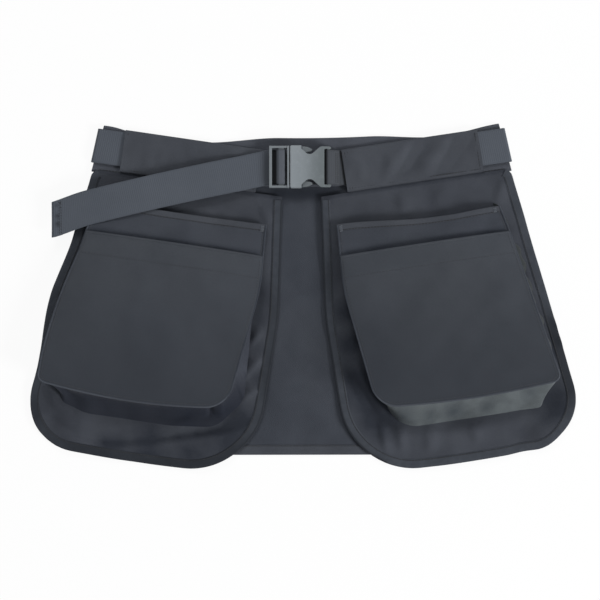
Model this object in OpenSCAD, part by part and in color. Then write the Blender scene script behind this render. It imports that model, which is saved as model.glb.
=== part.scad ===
// Wrap-round tool belt lying on its back, closed by a side-release buckle: a rear panel
// below, and in front two pocket flaps that hang from sleeves on the waist webbing.
// X runs along the waist, Y up the body towards the waist, Z out of the ground.

/* [Webbing and cloth] */
// Width of the waist webbing
webbing_w = 40; // [32:1:46]
// Thickness of the waist webbing
webbing_t = 1.6; // [1.2:0.1:2.2]
// Thickness of one layer of cloth
cloth_t = 0.8; // [0.5:0.1:1.2]
// Free space over and under the webbing inside a sleeve
sleeve_play = 0.3; // [0.2:0.05:0.8]
// Free space between pieces that lie on one another
lay_gap = 0.3; // [0.2:0.05:0.8]

/* [Waist] */
// Slope of the front sleeves against the waist line, in degrees
belt_slope = 8.4; // [4:0.2:12]
// Half the width of the rear sleeve
rear_half = 238; // [200:1:260]
// Height of the rear sleeve
rear_sleeve_h = 57; // [54:1:66]
// Height of a front sleeve
front_sleeve_h = 50; // [48:1:60]
// Length of a front sleeve
front_sleeve_l = 160; // [130:1:170]
// Distance of each front sleeve's inner end from the centre line
front_gap = 50; // [46:1:60]
// How far the webbing stands out past the rear sleeve at its side fold
side_fold = 4; // [3.5:0.1:16]
// How far the webbing runs above the middle of a front sleeve
webbing_lift = 2; // [0:0.5:2.5]
// Length of the left half's webbing that stays in the rear sleeve
left_stub = 70; // [56:1:90]

/* [Rear panel] */
// Width of the rear panel
back_w = 444; // [380:2:470]
// Drop of the rear panel below the rear sleeve
back_drop = 313; // [270:1:330]
// Radius of the rear panel's lower corners
back_corner = 60; // [20:2:90]
// Width of the folded hem along the rear panel's lower edge
back_hem = 11.6; // [6:0.2:18]

/* [Flaps] */
// Length of a flap below its sleeve
flap_l = 326; // [300:1:350]
// How far a flap's top edge reaches inwards past its sleeve
flap_top_in = 31; // [20:1:36]
// How far a flap's inner edge bows inwards
flap_bow = 47; // [40:1:50]
// Reach of a flap's top edge outwards from the sleeve's inner end
flap_top_out = 191; // [180:1:200]
// Reach of a flap's lower outer corner
flap_low_out = 236; // [228:1:250]
// Radius of a flap's lower inner corner
flap_corner_in = 82; // [40:1:96]
// Radius of a flap's lower outer corner
flap_corner = 58; // [30:1:80]
// Width of the binding round a flap
binding_w = 10; // [6:0.5:12]
// Where the binding starts below the flap's top edge
binding_start = 14; // [12:1:24]
// Free space at the seam that a flap swings on
seam_gap = 0.85; // [0.8:0.05:1]

/* [Pockets] */
// Depth of the pocket's mouth below the flap's seam
pocket_top = 36; // [30:1:44]
// Length of the pocket's front panel
pocket_l = 216; // [190:1:226]
// Width of the pocket's mouth
pocket_w = 190; // [160:1:194]
// How much wider the pocket is at its foot
pocket_flare = 23; // [10:1:28]
// How far the pocket's mouth stands open
mouth_gap = 6; // [5:0.5:12]
// How far the pocket's foot stands out from the flap
gusset_rise = 28; // [16:1:36]
// How far the gusset's foot seam lies below the front panel
gusset_foot = 28; // [10:1:34]
// Width of the hem along the pocket's mouth
pocket_hem = 7.5; // [5:0.5:12]
// Depth of the outer pocket's mouth below the main pocket's mouth
patch_top = 37; // [28:1:60]
// How far the outer pocket's mouth stands open
patch_gap = 3.5; // [2:0.1:3.8]

/* [Buckle] */
// Width of the buckle
buckle_w = 49; // [48:0.5:56]
// Thickness of the socket
buckle_t = 10.5; // [9:0.5:14]
// Length of the socket's face
socket_l = 39.4; // [38.4:0.1:40]
// Thickness of the socket's upper and lower walls
socket_wall = 2.25; // [1.6:0.05:2.6]
// Thickness of the socket's side walls at its mouth
socket_side = 2.3; // [1.6:0.1:3]
// Depth of the socket's inside for the prongs
socket_depth = 27; // [26.6:0.1:28]
// Depth of the socket's inside for the guide tongue
tongue_depth = 36; // [35:0.1:37]
// Half the width of the socket's waist between the side windows
socket_waist = 14.5; // [12:0.5:16]
// Diameter of the bar that the webbing is looped over
anchor_bar_d = 4.4; // [3.6:0.1:5]
// Distance of that bar from the socket's mouth
anchor_bar_x = 44; // [43.5:0.1:46]
// Length of the ladder frame
ladder_l = 24.5; // [24:0.1:27]
// Width of the ladder frame's side rails
rail_w = 2.4; // [2:0.1:2.8]
// Width of the ladder frame's outer bar
outer_bar_w = 3.2; // [3:0.1:4]
// Thickness of the ladder frame's middle bar
middle_bar_t = 3; // [2.4:0.1:3.2]
// Width of the ladder frame's middle bar
middle_bar_w = 7; // [5:0.2:7.4]
// Thickness of the ladder frame
ladder_t = 6; // [5:0.2:8]
// Thickness of the shoulder that meets the socket's mouth
shoulder_t = 7.4; // [7:0.2:9]
// Reach of that shoulder from the socket's mouth
shoulder_l = 3.6; // [3.2:0.1:4.6]
// Gap that stays open between that shoulder and the socket's mouth
shoulder_gap = 1.2; // [0.4:0.1:1.6]
// Width of the guide tongue
tongue_w = 12; // [8:0.5:16]
// Reach of the guide tongue past the socket's mouth
tongue_l = 34; // [28:0.5:34.5]
// Thickness of a prong's arm
prong_t = 3; // [2.2:0.1:3.6]
// Distance of a prong's root from the middle line
prong_y = 16.5; // [14:0.5:17]
// Free space between plug and socket
buckle_fit = 0.4; // [0.2:0.05:0.5]
// Free space between a prong's hook and the wall that it holds on to
latch_play = 0.6; // [0.3:0.1:1]
// Free space between webbing and the bars it passes
bar_gap = 0.2; // [0.1:0.05:0.4]

/* [Strap end] */
// Length of the loose strap end
tail_l = 258; // [180:2:280]
// Angle of the loose strap end below the waist line, in degrees
tail_angle = 12.3; // [8:0.1:16]
// Length of the strap end's folded tip
tip_fold = 12; // [6:0.5:20]
// Height of the webbing where it lies over the pocket's corner
tail_crest = 16.4; // [16:0.1:24]

/* [Hidden] */

cloth_colour = [0.10, 0.11, 0.12];
binding_colour = [0.07, 0.075, 0.085];
strap_colour = [0.13, 0.14, 0.155];
plastic_colour = [0.22, 0.24, 0.25];

sleeve_t = 2 * cloth_t + webbing_t + 2 * sleeve_play;
front_z = sleeve_t + lay_gap;
rear_strap_z = sleeve_t / 2;
front_strap_z = front_z + sleeve_t / 2;
rear_r = rear_half / sin(belt_slope);
rear_end_y = rear_r * (1 - cos(belt_slope));
front_y = rear_end_y - (rear_half - front_gap) * tan(belt_slope);
fold_u = (rear_half - front_gap) / cos(belt_slope);
fold_r = (front_strap_z - rear_strap_z) / 2;
strap_start = 4;
turn_r = webbing_t / 2 + 0.2;
hinge_v = -front_sleeve_h / 2 - seam_gap;
flap_z = front_z + cloth_t;
tilt = atan((gusset_rise - mouth_gap) / pocket_l);
foot_out = pocket_w + pocket_flare - 4;

// Outline of a flap, from its inner top corner round its foot to its outer top corner
flap_pts = fillet([[-flap_top_in, 0], [-flap_bow, -flap_l * 0.43], [-flap_bow + 3, -flap_l],
    [flap_low_out, -flap_l], [flap_top_out, 0]], [0, 300, flap_corner_in, flap_corner, 10], 8);
flap_foot = min([for (p = inset(flap_pts, -cloth_t))
    front_y + (hinge_v + p[1]) * cos(belt_slope) + p[0] * sin(belt_slope)]);
rear_top = rear_end_y + rear_sleeve_h / 2 * cos(belt_slope);
y_shift = -(rear_top + flap_foot) / 2;

// Outlines of a pocket's front panel and of its gusset on the flap, from the mouth's inner corner
pocket_pts = fillet([[-18, 0], [-22, -pocket_l * 0.35], [-4, -pocket_l],
    [foot_out, -pocket_l], [pocket_w - 18, 0]], [0, 220, 28, 8, 0], 6);
gusset_pts = fillet([[-13, -1], [-15, -pocket_l * 0.36], [14, -pocket_l - gusset_foot],
    [foot_out - 20, -pocket_l - gusset_foot], [pocket_w - 24, -1]], [0, 220, 34, 6, 0], 6);

// Buckle: its mouth, its middle height and its place on the waist
buckle_x = -13;
buckle_y = front_y + 3.7;
buckle_z = front_z + sleeve_t + lay_gap + buckle_t / 2;
strap_drop = front_strap_z - buckle_z;
cavity_h = buckle_t - 2 * socket_wall;
hook_x = 13;
middle_bar_x = -10.5;
outer_bar_z = -0.9;
prong_root = 0.6 - shoulder_gap;
tail_z = outer_bar_z - bar_gap - webbing_t / 2;
load_z = tail_z - webbing_t - bar_gap;

function unit(v) = v / norm(v);
function perp(d) = [-d[1], d[0]];
function backwards(p) = [for (i = [len(p) - 1:-1:0]) p[i]];
function arc(c, r, a, b, n) = [for (i = [0:n]) c + r * [cos(a + (b - a) * i / n), sin(a + (b - a) * i / n)]];

// Closed outline with rounded corners; a radius of 0 keeps the corner sharp
function fillet(p, r, n) = [for (i = [0:len(p) - 1])
    let (m = len(p), a = unit(p[(i + m - 1) % m] - p[i]), b = unit(p[(i + 1) % m] - p[i]),
        half = acos(a * b) / 2, c = p[i] + unit(a + b) * r[i] / sin(half),
        s = p[i] + a * r[i] / tan(half) - c, e = p[i] + b * r[i] / tan(half) - c,
        from = atan2(s[1], s[0]), turn = atan2(e[1], e[0]) - from,
        sweep = turn > 180 ? turn - 360 : turn < -180 ? turn + 360 : turn)
    each r[i] == 0 ? [p[i]] : arc(c, r[i], from, from + sweep, n)];

function miter(n, m) = (n + m) / (1 + n * m);
function side_of(p, i) = i == 0 ? perp(unit(p[1] - p[0]))
    : i == len(p) - 1 ? perp(unit(p[i] - p[i - 1]))
    : miter(perp(unit(p[i] - p[i - 1])), perp(unit(p[i + 1] - p[i])));
function ring_side(p, i) = let (m = len(p))
    miter(perp(unit(p[i] - p[(i + m - 1) % m])), perp(unit(p[(i + 1) % m] - p[i])));
// A path moved to its left by d, and a closed outline moved inwards by d
function moved(p, d) = [for (i = [0:len(p) - 1]) p[i] + d * side_of(p, i)];
function inset(p, d) = [for (i = [0:len(p) - 1]) p[i] + d * ring_side(p, i)];

// Webbing that follows a path in the X-Z plane
module ribbon(path, w) {
    rotate([90, 0, 0])
        linear_extrude(w, center = true)
            polygon(concat(moved(path, webbing_t / 2), backwards(moved(path, -webbing_t / 2))));
}

module on_waist() {
    translate([0, y_shift, 0])
        children();
}

module on_front() {
    translate([front_gap, front_y + y_shift, 0])
        rotate(belt_slope)
            children();
}

module on_flap() {
    on_front()
        translate([0, hinge_v, flap_z])
            children();
}

module on_pocket() {
    on_flap()
        translate([0, -pocket_top, mouth_gap])
            rotate([-tilt, 0, 0])
                children();
}

module on_buckle() {
    translate([buckle_x, buckle_y + y_shift, buckle_z])
        children();
}

module on_left() {
    mirror([1, 0, 0])
        children();
}

// A stretch of the waist's rear curve, between two angles from the centre line
module rear_curve(h, t, z, from, to) {
    on_waist()
        translate([0, rear_r, z])
            rotate(from - 90)
                rotate_extrude(angle = to - from, $fn = 1440)
                    translate([rear_r - h / 2, 0])
                        square([h, t]);
}

module rear_sleeve() {
    color(cloth_colour)
        difference() {
            rear_curve(rear_sleeve_h, sleeve_t, 0, -belt_slope, belt_slope);
            rear_curve(rear_sleeve_h - 2 * cloth_t, sleeve_t - 2 * cloth_t, cloth_t,
                -belt_slope - 1, belt_slope + 1);
        }
}

module back_panel() {
    top = rear_sleeve_h / 2;
    foot = -top - back_drop;
    outline = fillet([[-back_w / 2 + 8, -top + 20], [-back_w / 2, foot], [back_w / 2, foot],
        [back_w / 2 - 8, -top + 20]], [0, back_corner, back_corner, 0], 8);
    color(cloth_colour)
        on_waist()
            difference() {
                union() {
                    linear_extrude(cloth_t)
                        polygon(outline);
                    linear_extrude(2 * cloth_t)
                        intersection() {
                            polygon(outline);
                            translate([-back_w / 2, foot])
                                square([back_w, back_hem]);
                        }
                }
                translate([0, rear_r, -1])
                    cylinder(h = 4, r = rear_r + top + lay_gap, $fn = 1440);
            }
}

module front_sleeve() {
    color(cloth_colour)
        on_front()
            translate([0, -front_sleeve_h / 2, front_z])
                difference() {
                    cube([front_sleeve_l, front_sleeve_h, sleeve_t]);
                    translate([-1, cloth_t, cloth_t])
                        cube([front_sleeve_l + 2, front_sleeve_h - 2 * cloth_t, sleeve_t - 2 * cloth_t]);
                }
}

// Webbing from just inside a front sleeve's inner end, round the side fold and into the rear sleeve
module waist_strap(stub) {
    end = fold_u + side_fold - fold_r - webbing_t / 2;
    color(strap_colour)
        on_front()
            translate([0, webbing_lift, 0])
                ribbon(concat([[strap_start, front_strap_z]],
                    backwards(arc([end, rear_strap_z + fold_r], fold_r, -90, 90, 8)),
                    [[fold_u - stub, rear_strap_z]]), webbing_w);
}

// Webbing inside the rear sleeve, parted short of the left half's end
module rear_strap() {
    color(strap_colour)
        rear_curve(webbing_w, webbing_t, rear_strap_z - webbing_t / 2, -belt_slope * 0.5,
            belt_slope - lay_gap / rear_r * 180 / PI);
}

// Everything past the inner end of the webbing in the right front sleeve
module past_start() {
    on_front()
        translate([strap_start - lay_gap, -80, -10])
            cube([120, 160, 60]);
}

// Webbing looped over the socket's bar and sewn back on itself
module anchor_loop() {
    turn = anchor_bar_d / 2 + bar_gap + webbing_t / 2;
    color(strap_colour)
        difference() {
            on_buckle()
                translate([0, -0.4, 0])
                    ribbon(concat([[front_gap - buckle_x + 14, strap_drop],
                        [anchor_bar_x + 13.5, strap_drop]],
                        backwards(arc([anchor_bar_x, 0], turn, 72, 252, 12)),
                        [[anchor_bar_x + 13, strap_drop + webbing_t + 0.6]]), webbing_w);
            past_start();
        }
}

// Webbing turned over the ladder's middle bar, with both legs under the outer bar
module ladder_strap() {
    turn = middle_bar_t / 2 + bar_gap + webbing_t / 2;
    half = (middle_bar_w - middle_bar_t) / 2;
    color(strap_colour)
        difference() {
            on_buckle()
                ribbon(concat([[-front_gap - buckle_x - 14, strap_drop], [-ladder_l - 8, strap_drop],
                    [-ladder_l + 4, load_z], [middle_bar_x - half - 1, load_z]],
                    arc([middle_bar_x + half, 0], turn, -70, 90, 8),
                    arc([middle_bar_x - half, 0], turn, 90, 174, 6),
                    [[middle_bar_x - half - turn - 1.1, tail_z + 0.4], [middle_bar_x - half - turn - 2.4, tail_z],
                    [-ladder_l - 0.6, tail_z]]), webbing_w);
            on_left()
                past_start();
        }
}

// Loose strap end, its tip folded under and sewn
module strap_tail() {
    crest = tail_crest - webbing_t / 2 + 0.6;
    run = unit([tail_l * 0.22, -3.8]);
    tip = [tail_l * 0.78, crest] + run * tail_l * 0.22;
    color(strap_colour)
        difference() {
            on_buckle()
                translate([-ladder_l - 0.6, -1, -buckle_z])
                    rotate(180 + tail_angle)
                        ribbon([[-8, buckle_z + tail_z], [10, buckle_z + tail_z],
                            [tail_l * 0.52, crest], [tail_l * 0.78, crest], tip,
                            tip + 0.7 * turn_r * run - turn_r * (1 - 0.7) * perp(run),
                            tip + turn_r * run - turn_r * perp(run),
                            tip + 0.7 * turn_r * run - turn_r * (1 + 0.7) * perp(run),
                            tip - 2 * turn_r * perp(run),
                            tip - 2 * turn_r * perp(run) - tip_fold * run], webbing_w);
            on_buckle()
                translate([-ladder_l - 0.65, -50, -30])
                    cube([60, 100, 60]);
        }
}

// Outline of the socket's face, narrowed by the side windows
module socket_face() {
    w = buckle_w / 2;
    side = [[0, w], [hook_x, w], [hook_x, w - 4], [20, socket_waist], [25, socket_waist],
        [35, w - 1], [socket_l + 8, w - 1]];
    round = [1.5, 0.6, 0.3, 5, 5, 4, 2.4];
    polygon(fillet(concat(side, [for (p = backwards(side)) [p[0], -p[1]]]),
        concat(round, backwards(round)), 5));
}

module buckle_socket() {
    slot = 2 * (webbing_w / 2 + 0.7);
    color(plastic_colour)
        on_buckle()
            difference() {
                union() {
                    intersection() {
                        translate([0, 0, -buckle_t / 2])
                            linear_extrude(buckle_t)
                                socket_face();
                        translate([16, 0, buckle_t / 2 - 130])
                            rotate([90, 0, 0])
                                cylinder(h = buckle_w + 2, r = 130, center = true, $fn = 360);
                    }
                    translate([anchor_bar_x, 0, 0])
                        rotate([90, 0, 0])
                            cylinder(h = slot + 1, r = anchor_bar_d / 2, center = true, $fn = 40);
                }
                translate([-1, -buckle_w / 2 + socket_side, -cavity_h / 2])
                    cube([socket_depth + 1, buckle_w - 2 * socket_side, cavity_h]);
                translate([socket_depth - 2, -tongue_w / 2 - 3, -cavity_h / 2])
                    cube([tongue_depth - socket_depth + 2, tongue_w + 6, cavity_h]);
                difference() {
                    translate([socket_l, -slot / 2, -buckle_t])
                        cube([buckle_w, slot, 2 * buckle_t]);
                    translate([anchor_bar_x, 0, 0])
                        rotate([90, 0, 0])
                            cylinder(h = slot + 1, r = anchor_bar_d / 2, center = true, $fn = 40);
                }
            }
}

module buckle_plug() {
    w = buckle_w / 2 - 0.25;
    thick = cavity_h - 2 * buckle_fit;
    color(plastic_colour)
        on_buckle()
            union() {
                for (s = [-1, 1])
                    translate([-ladder_l, s > 0 ? w - rail_w : -w, -ladder_t / 2])
                        cube([ladder_l - shoulder_gap, rail_w, ladder_t]);
                translate([-shoulder_l, -w, -shoulder_t / 2])
                    cube([shoulder_l - shoulder_gap, 2 * w, shoulder_t]);
                translate([-ladder_l, -w, outer_bar_z])
                    cube([outer_bar_w, 2 * w, ladder_t / 2 - outer_bar_z]);
                for (x = [-1, 1])
                    translate([middle_bar_x + x * (middle_bar_w - middle_bar_t) / 2, 0, 0])
                        rotate([90, 0, 0])
                            cylinder(h = 2 * w - 1, r = middle_bar_t / 2, center = true, $fn = 32);
                translate([middle_bar_x - (middle_bar_w - middle_bar_t) / 2, -w + 0.5, -middle_bar_t / 2])
                    cube([middle_bar_w - middle_bar_t, 2 * w - 1, middle_bar_t]);
                translate([-shoulder_l / 2, -tongue_w / 2, -thick / 2])
                    cube([shoulder_l / 2 + tongue_l - tongue_w / 2, tongue_w, thick]);
                translate([tongue_l - tongue_w / 2, 0, -thick / 2])
                    cylinder(h = thick, r = tongue_w / 2, $fn = 48);
            }
}

// Side prong: a springy arm that ends in a finger pad with a hook behind it
module prong() {
    hook = buckle_w / 2 - 0.7;
    inner = prong_y - prong_t / 2;
    outer = prong_y + prong_t / 2;
    pad = hook_x + latch_play;
    thick = cavity_h - 2 * buckle_fit;
    outline = fillet([[prong_root, inner], [11, inner + 0.6], [24, inner + 2.6], [26, inner + 4.4],
        [25, outer + 2.6], [20, hook - 0.8], [pad, hook], [pad, outer + 2.2], [9, outer], [prong_root, outer]],
        [0, 8, 4, 1.2, 1.2, 5, 0.6, 0.5, 3, 0], 4);
    color(plastic_colour)
        translate([0, 0, -thick / 2])
            linear_extrude(thick)
                polygon(outline);
}

module upper_prong() {
    on_buckle()
        prong();
}

module lower_prong() {
    on_buckle()
        mirror([0, 1, 0])
            prong();
}

module flap_panel() {
    color(cloth_colour)
        on_flap()
            translate([0, 0, -cloth_t])
                linear_extrude(cloth_t)
                    polygon(flap_pts);
}

// Folded band round the flap's sides and foot, gripping the edge of the flap
module binding() {
    color(binding_colour)
        on_flap()
            difference() {
                translate([0, 0, -2 * cloth_t])
                    linear_extrude(3 * cloth_t)
                        difference() {
                            polygon(inset(flap_pts, -cloth_t));
                            polygon(inset(flap_pts, binding_w));
                            translate([-2 * flap_bow, -binding_start])
                                square([2 * flap_l, flap_l]);
                        }
                translate([0, 0, -cloth_t - 0.05])
                    linear_extrude(cloth_t + 0.1)
                        polygon(inset(flap_pts, -0.05));
            }
}

// Gusset strip from its seam on the flap up to the edge of the front panel, open at the mouth
module gusset() {
    rise = tan(tilt);
    lift = mouth_gap - 0.02;
    top = [for (p = pocket_pts) [p[0], p[1] * cos(tilt)]];
    foot_in = moved(gusset_pts, cloth_t);
    top_in = moved(top, cloth_t);
    n = len(gusset_pts);
    points = [for (i = [0:n - 1]) each [[gusset_pts[i][0], gusset_pts[i][1], 0.02],
        [foot_in[i][0], foot_in[i][1], 0.02], [top_in[i][0], top_in[i][1], lift - rise * top_in[i][1]],
        [top[i][0], top[i][1], lift - rise * top[i][1]]]];
    walls = [for (i = [0:n - 2]) for (k = [0:3]) let (a = 4 * i + k, b = 4 * i + (k + 1) % 4)
        each [[a, b, b + 4], [a, b + 4, a + 4]]];
    color(cloth_colour)
        on_flap()
            translate([0, -pocket_top, 0])
                polyhedron(points, concat(walls, [[3, 2, 1, 0], [4 * n - 4, 4 * n - 3, 4 * n - 2, 4 * n - 1]]));
}

module pocket_front() {
    color(cloth_colour)
        on_pocket()
            union() {
                linear_extrude(cloth_t)
                    polygon(pocket_pts);
                linear_extrude(2 * cloth_t)
                    intersection() {
                        polygon(pocket_pts);
                        translate([-40, -pocket_hem])
                            square([300, pocket_hem]);
                    }
            }
}

// Outer pocket: a sheet sewn to the front panel on three sides, gaping a little at its mouth
module outer_pocket() {
    foot = -pocket_l + 1.5;
    low_out = foot_out - 1.5;
    slope = (foot_out - pocket_w + 18) / pocket_l;
    top_in = -19.2;
    top_out = pocket_w - 20.5 + slope * patch_top;
    flat = [[top_in, -patch_top], [-2.6, foot + 34], [27, foot], [low_out - 11, foot],
        [low_out - 2, foot + 10], [top_out, -patch_top], [top_out - 26, -patch_top], [top_in + 26, -patch_top]];
    lift = [0, 0, 0, 0, 0, 0, patch_gap, patch_gap];
    low = cloth_t + 0.02;
    points = concat([for (i = [0:7]) [flat[i][0], flat[i][1], low + lift[i]]],
        [for (i = [0:7]) [flat[i][0], flat[i][1], low + lift[i] + cloth_t]]);
    faces = [[0, 1, 7], [7, 1, 2], [7, 2, 3], [7, 3, 6], [6, 3, 4], [6, 4, 5]];
    rim = [for (i = [0:7]) let (j = (i + 1) % 8) each [[i, i + 8, j + 8], [i, j + 8, j]]];
    color(cloth_colour)
        on_pocket()
            polyhedron(points, concat(faces, [for (f = faces) [f[2] + 8, f[1] + 8, f[0] + 8]], rim));
}

rear_sleeve();
rear_strap();
back_panel();
front_sleeve();  // right_sleeve
waist_strap(0);  // right_strap
anchor_loop();
buckle_socket();
on_left() front_sleeve();  // left_sleeve
on_left() waist_strap(left_stub);  // left_strap
ladder_strap();
strap_tail();
buckle_plug();
upper_prong();
lower_prong();
flap_panel();  // right_flap_panel
binding();  // right_binding
gusset();  // right_gusset
pocket_front();  // right_pocket_front
outer_pocket();  // right_outer_pocket
on_left() flap_panel();  // left_flap_panel
on_left() binding();  // left_binding
on_left() gusset();  // left_gusset
on_left() pocket_front();  // left_pocket_front
on_left() outer_pocket();  // left_outer_pocket
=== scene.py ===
# %% [markdown]
# # A wrap-round tool belt
# The belt lies closed on its back: a rear panel below, two pocket flaps that hang from cloth sleeves on the
# waist webbing, and a side-release buckle with a loose strap end. The CAD frame already has every piece in
# its place, so this lesson only dresses it: cloth, binding tape, webbing, thread and moulded plastic.

# %% Load the CAD frame
import math

import bpy
import numpy as np
from mathutils import Matrix


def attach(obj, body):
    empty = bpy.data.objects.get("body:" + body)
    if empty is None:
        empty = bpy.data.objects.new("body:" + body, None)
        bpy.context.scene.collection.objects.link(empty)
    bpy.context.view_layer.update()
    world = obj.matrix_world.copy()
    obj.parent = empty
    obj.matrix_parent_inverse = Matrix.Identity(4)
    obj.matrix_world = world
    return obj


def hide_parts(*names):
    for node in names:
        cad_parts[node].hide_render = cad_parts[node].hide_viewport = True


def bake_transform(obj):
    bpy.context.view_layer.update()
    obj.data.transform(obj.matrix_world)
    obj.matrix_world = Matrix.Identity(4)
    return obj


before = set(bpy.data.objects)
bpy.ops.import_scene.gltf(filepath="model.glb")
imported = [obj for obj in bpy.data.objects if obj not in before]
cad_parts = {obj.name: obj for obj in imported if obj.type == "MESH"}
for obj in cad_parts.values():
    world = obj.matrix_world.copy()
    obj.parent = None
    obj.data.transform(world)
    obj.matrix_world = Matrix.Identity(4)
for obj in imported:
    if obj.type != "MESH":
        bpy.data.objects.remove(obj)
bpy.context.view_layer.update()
MM = 0.001

# %% [markdown]
# The belt was photographed from almost straight above. A camera could be aimed by a constraint, but four
# simple moves are easier to match to a picture: up by 1.5 m, nodded and turned by a hair, and shifted over
# the belt's middle. The lens follows from the width of the picture, which is about 700 mm on the ground.

# %% Camera above the belt
CAMERA_HEIGHT = 1.5
LENS_LENGTH, SENSOR_WIDTH = 76.93, 36.0
PICTURE_MIDDLE = (-0.002, -0.0064, 0.0)
TURNED, NODDED = math.radians(-0.09), math.radians(0.5)

scene = bpy.context.scene
lens = bpy.data.cameras.new("overhead_camera")
lens.sensor_width, lens.lens = SENSOR_WIDTH, LENS_LENGTH
camera = bpy.data.objects.new("overhead_camera", lens)
scene.collection.objects.link(camera)
over_belt = Matrix.Translation(PICTURE_MIDDLE) @ Matrix.Rotation(TURNED, 4, "Z")
raised = Matrix.Translation((0.0, 0.0, CAMERA_HEIGHT))
camera.matrix_world = over_belt @ Matrix.Rotation(NODDED, 4, "X") @ raised
scene.camera = camera
scene.view_settings.view_transform = "Standard"
print("camera at", tuple(round(c, 3) for c in camera.matrix_world.translation))

# %% [markdown]
# Every finish is a small node tree. It could be wired link by link, but that hides the idea, so one class
# wraps a socket and turns Python's own operators into Math nodes, and one method adds any other node.

# %% A sum of sockets becomes a sum of nodes
class Term:
    """A value in a node tree; arithmetic on it adds the Math nodes."""

    def __init__(self, tree, socket):
        self.tree, self.socket = tree, socket

    def _math(self, operation, first, second=0.0):
        return self.tree.node("ShaderNodeMath", {"operation": operation}, {0: first, 1: second})

    def __add__(self, other):
        return self._math("ADD", self, other)

    def __sub__(self, other):
        return self._math("SUBTRACT", self, other)

    def __rsub__(self, other):
        return self._math("SUBTRACT", other, self)

    def __mul__(self, other):
        return self._math("MULTIPLY", self, other)

    __radd__, __rmul__ = __add__, __mul__

    def sine(self):
        return self._math("SINE", self)

    def size(self):
        return self._math("ABSOLUTE", self)

    def at_most(self, other):
        return self._math("MINIMUM", self, other)

    def at_least(self, other):
        return self._math("MAXIMUM", self, other)

    def clamp(self):
        return self.at_least(0.0).at_most(1.0)

    def out(self, index):
        return Term(self.tree, self.socket.node.outputs[index])


print("node sums ready:", Term.__name__)

# %% [markdown]
# A node tree is a set of nodes and the links between them. It could be drawn by hand in the editor, but a
# script can be read and run again. One method adds any node: it sets the node's settings first, and then
# gives each socket a value or a link.

# %% Adding nodes to a tree
class Tree:
    """A node tree, and the one method that adds a node to it."""

    def __init__(self, tree):
        self.tree = tree

    def feed(self, socket, value):
        if isinstance(value, Term):
            self.tree.links.new(value.socket, socket)
        else:
            socket.default_value = value

    def node(self, kind, settings=None, sockets=None):
        made = self.tree.nodes.new(kind)
        for name, value in (settings or {}).items():
            setattr(made, name, value)
        for key, value in (sockets or {}).items():
            self.feed(made.inputs[key], value)
        return Term(self, made.outputs[0])

    def blend(self, share, first, second):
        """A colour between two others."""
        mixed = self.node("ShaderNodeMix", {"data_type": "RGBA"}, {0: share, 6: first, 7: second})
        return mixed.out(2)


print("node tools ready:", Tree.__name__)

# %% [markdown]
# A finish is a material. What is even all over sits on the shader's own sockets, and what varies is fed by
# nodes. Woven patterns follow the piece's own UV map, so that they run with the cloth, while tone drift and
# painted shade by height follow its place on the belt. Dark patches, most of them painted shade, differ on
# every piece; they are an attribute of the vertices, which needs no picture.

# %% Finishes
class Finish(Tree):
    """A material: constant values go on the shader's own sockets, the rest is fed by nodes."""

    def __init__(self, name, constants):
        self.material = bpy.data.materials.new(name)
        self.material.use_nodes = True
        super().__init__(self.material.node_tree)
        self.shader = self.tree.nodes["Principled BSDF"]
        for socket, value in constants.items():
            self.shader.inputs[socket].default_value = value

    def uv(self):
        """The two directions of the piece's own UV map, in metres."""
        x = self.node("ShaderNodeSeparateXYZ", {}, {0: self.node("ShaderNodeUVMap", {"uv_map": "UVMap"})})
        return x, x.out(1)

    def place(self):
        """Object coordinates, which are the belt's own, in metres."""
        return self.node("ShaderNodeTexCoord").out(3)

    def noise(self, place, scale, detail, roughness=0.5):
        sockets = {"Vector": place, "Scale": scale, "Detail": detail, "Roughness": roughness}
        return self.node("ShaderNodeTexNoise", {}, sockets)

    def relief(self, height, strength, distance):
        return self.node("ShaderNodeBump", {}, {"Strength": strength, "Distance": distance, "Height": height})

    def darkening(self):
        """The dark patches marked on the piece's vertices, most of them painted shade; none on a piece
        without marks.
        """
        return self.node("ShaderNodeAttribute", {"attribute_name": "darkening"}).out(2)

    def paint(self, **fed):
        for socket, value in fed.items():
            self.feed(self.shader.inputs[socket.replace("_", " ")], value)
        return self.material


print("finish tools ready:", Finish.__name__)

# %% [markdown]
# The belt is all slate and grey, so its colours differ only a little. They are easiest to judge as they
# read on a screen, from 0 to 255, while a shader reckons in linear light. Each could be typed into the
# colour picker, but then its deeper tones would have to be picked too. Two small functions do both: one
# turns screen values into linear ones, and one gives a deeper or paler tone of a colour.

# %% Colours
def tint(red, green, blue):
    """A colour as it reads on a screen, 0 to 255, in the linear values that shaders use."""
    def linear(c):
        c = c / 255
        return c / 12.92 if c <= 0.04045 else ((c + 0.055) / 1.055) ** 2.4
    return (linear(red), linear(green), linear(blue), 1.0)


def toned(colour, *shares):
    """A colour at one share of its strength, or at a share each of its red, green and blue."""
    shares = shares if len(shares) == 3 else 3 * shares
    return tuple(k * c for k, c in zip(shares, colour)) + (1.0,)


TURN = 2 * math.pi
print("mid slate is", [round(c, 3) for c in tint(62, 66, 73)[:3]])

# %% [markdown]
# The cloth is a closely woven polyester twill: fine diagonal ribs about a millimetre apart, a little sheen,
# and a slate colour that drifts between bluish and neutral as light and dye vary. Two crossed sine waves on
# the UV map make the ribs and yarns, which is cheaper and cleaner than modelled yarn. Noise on Object
# coordinates makes the drift and the duller clouds where the nap has been brushed the other way, so they
# pass over seams without a break.

# %% Twill finish
RIB_PITCH = 0.0011


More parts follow.
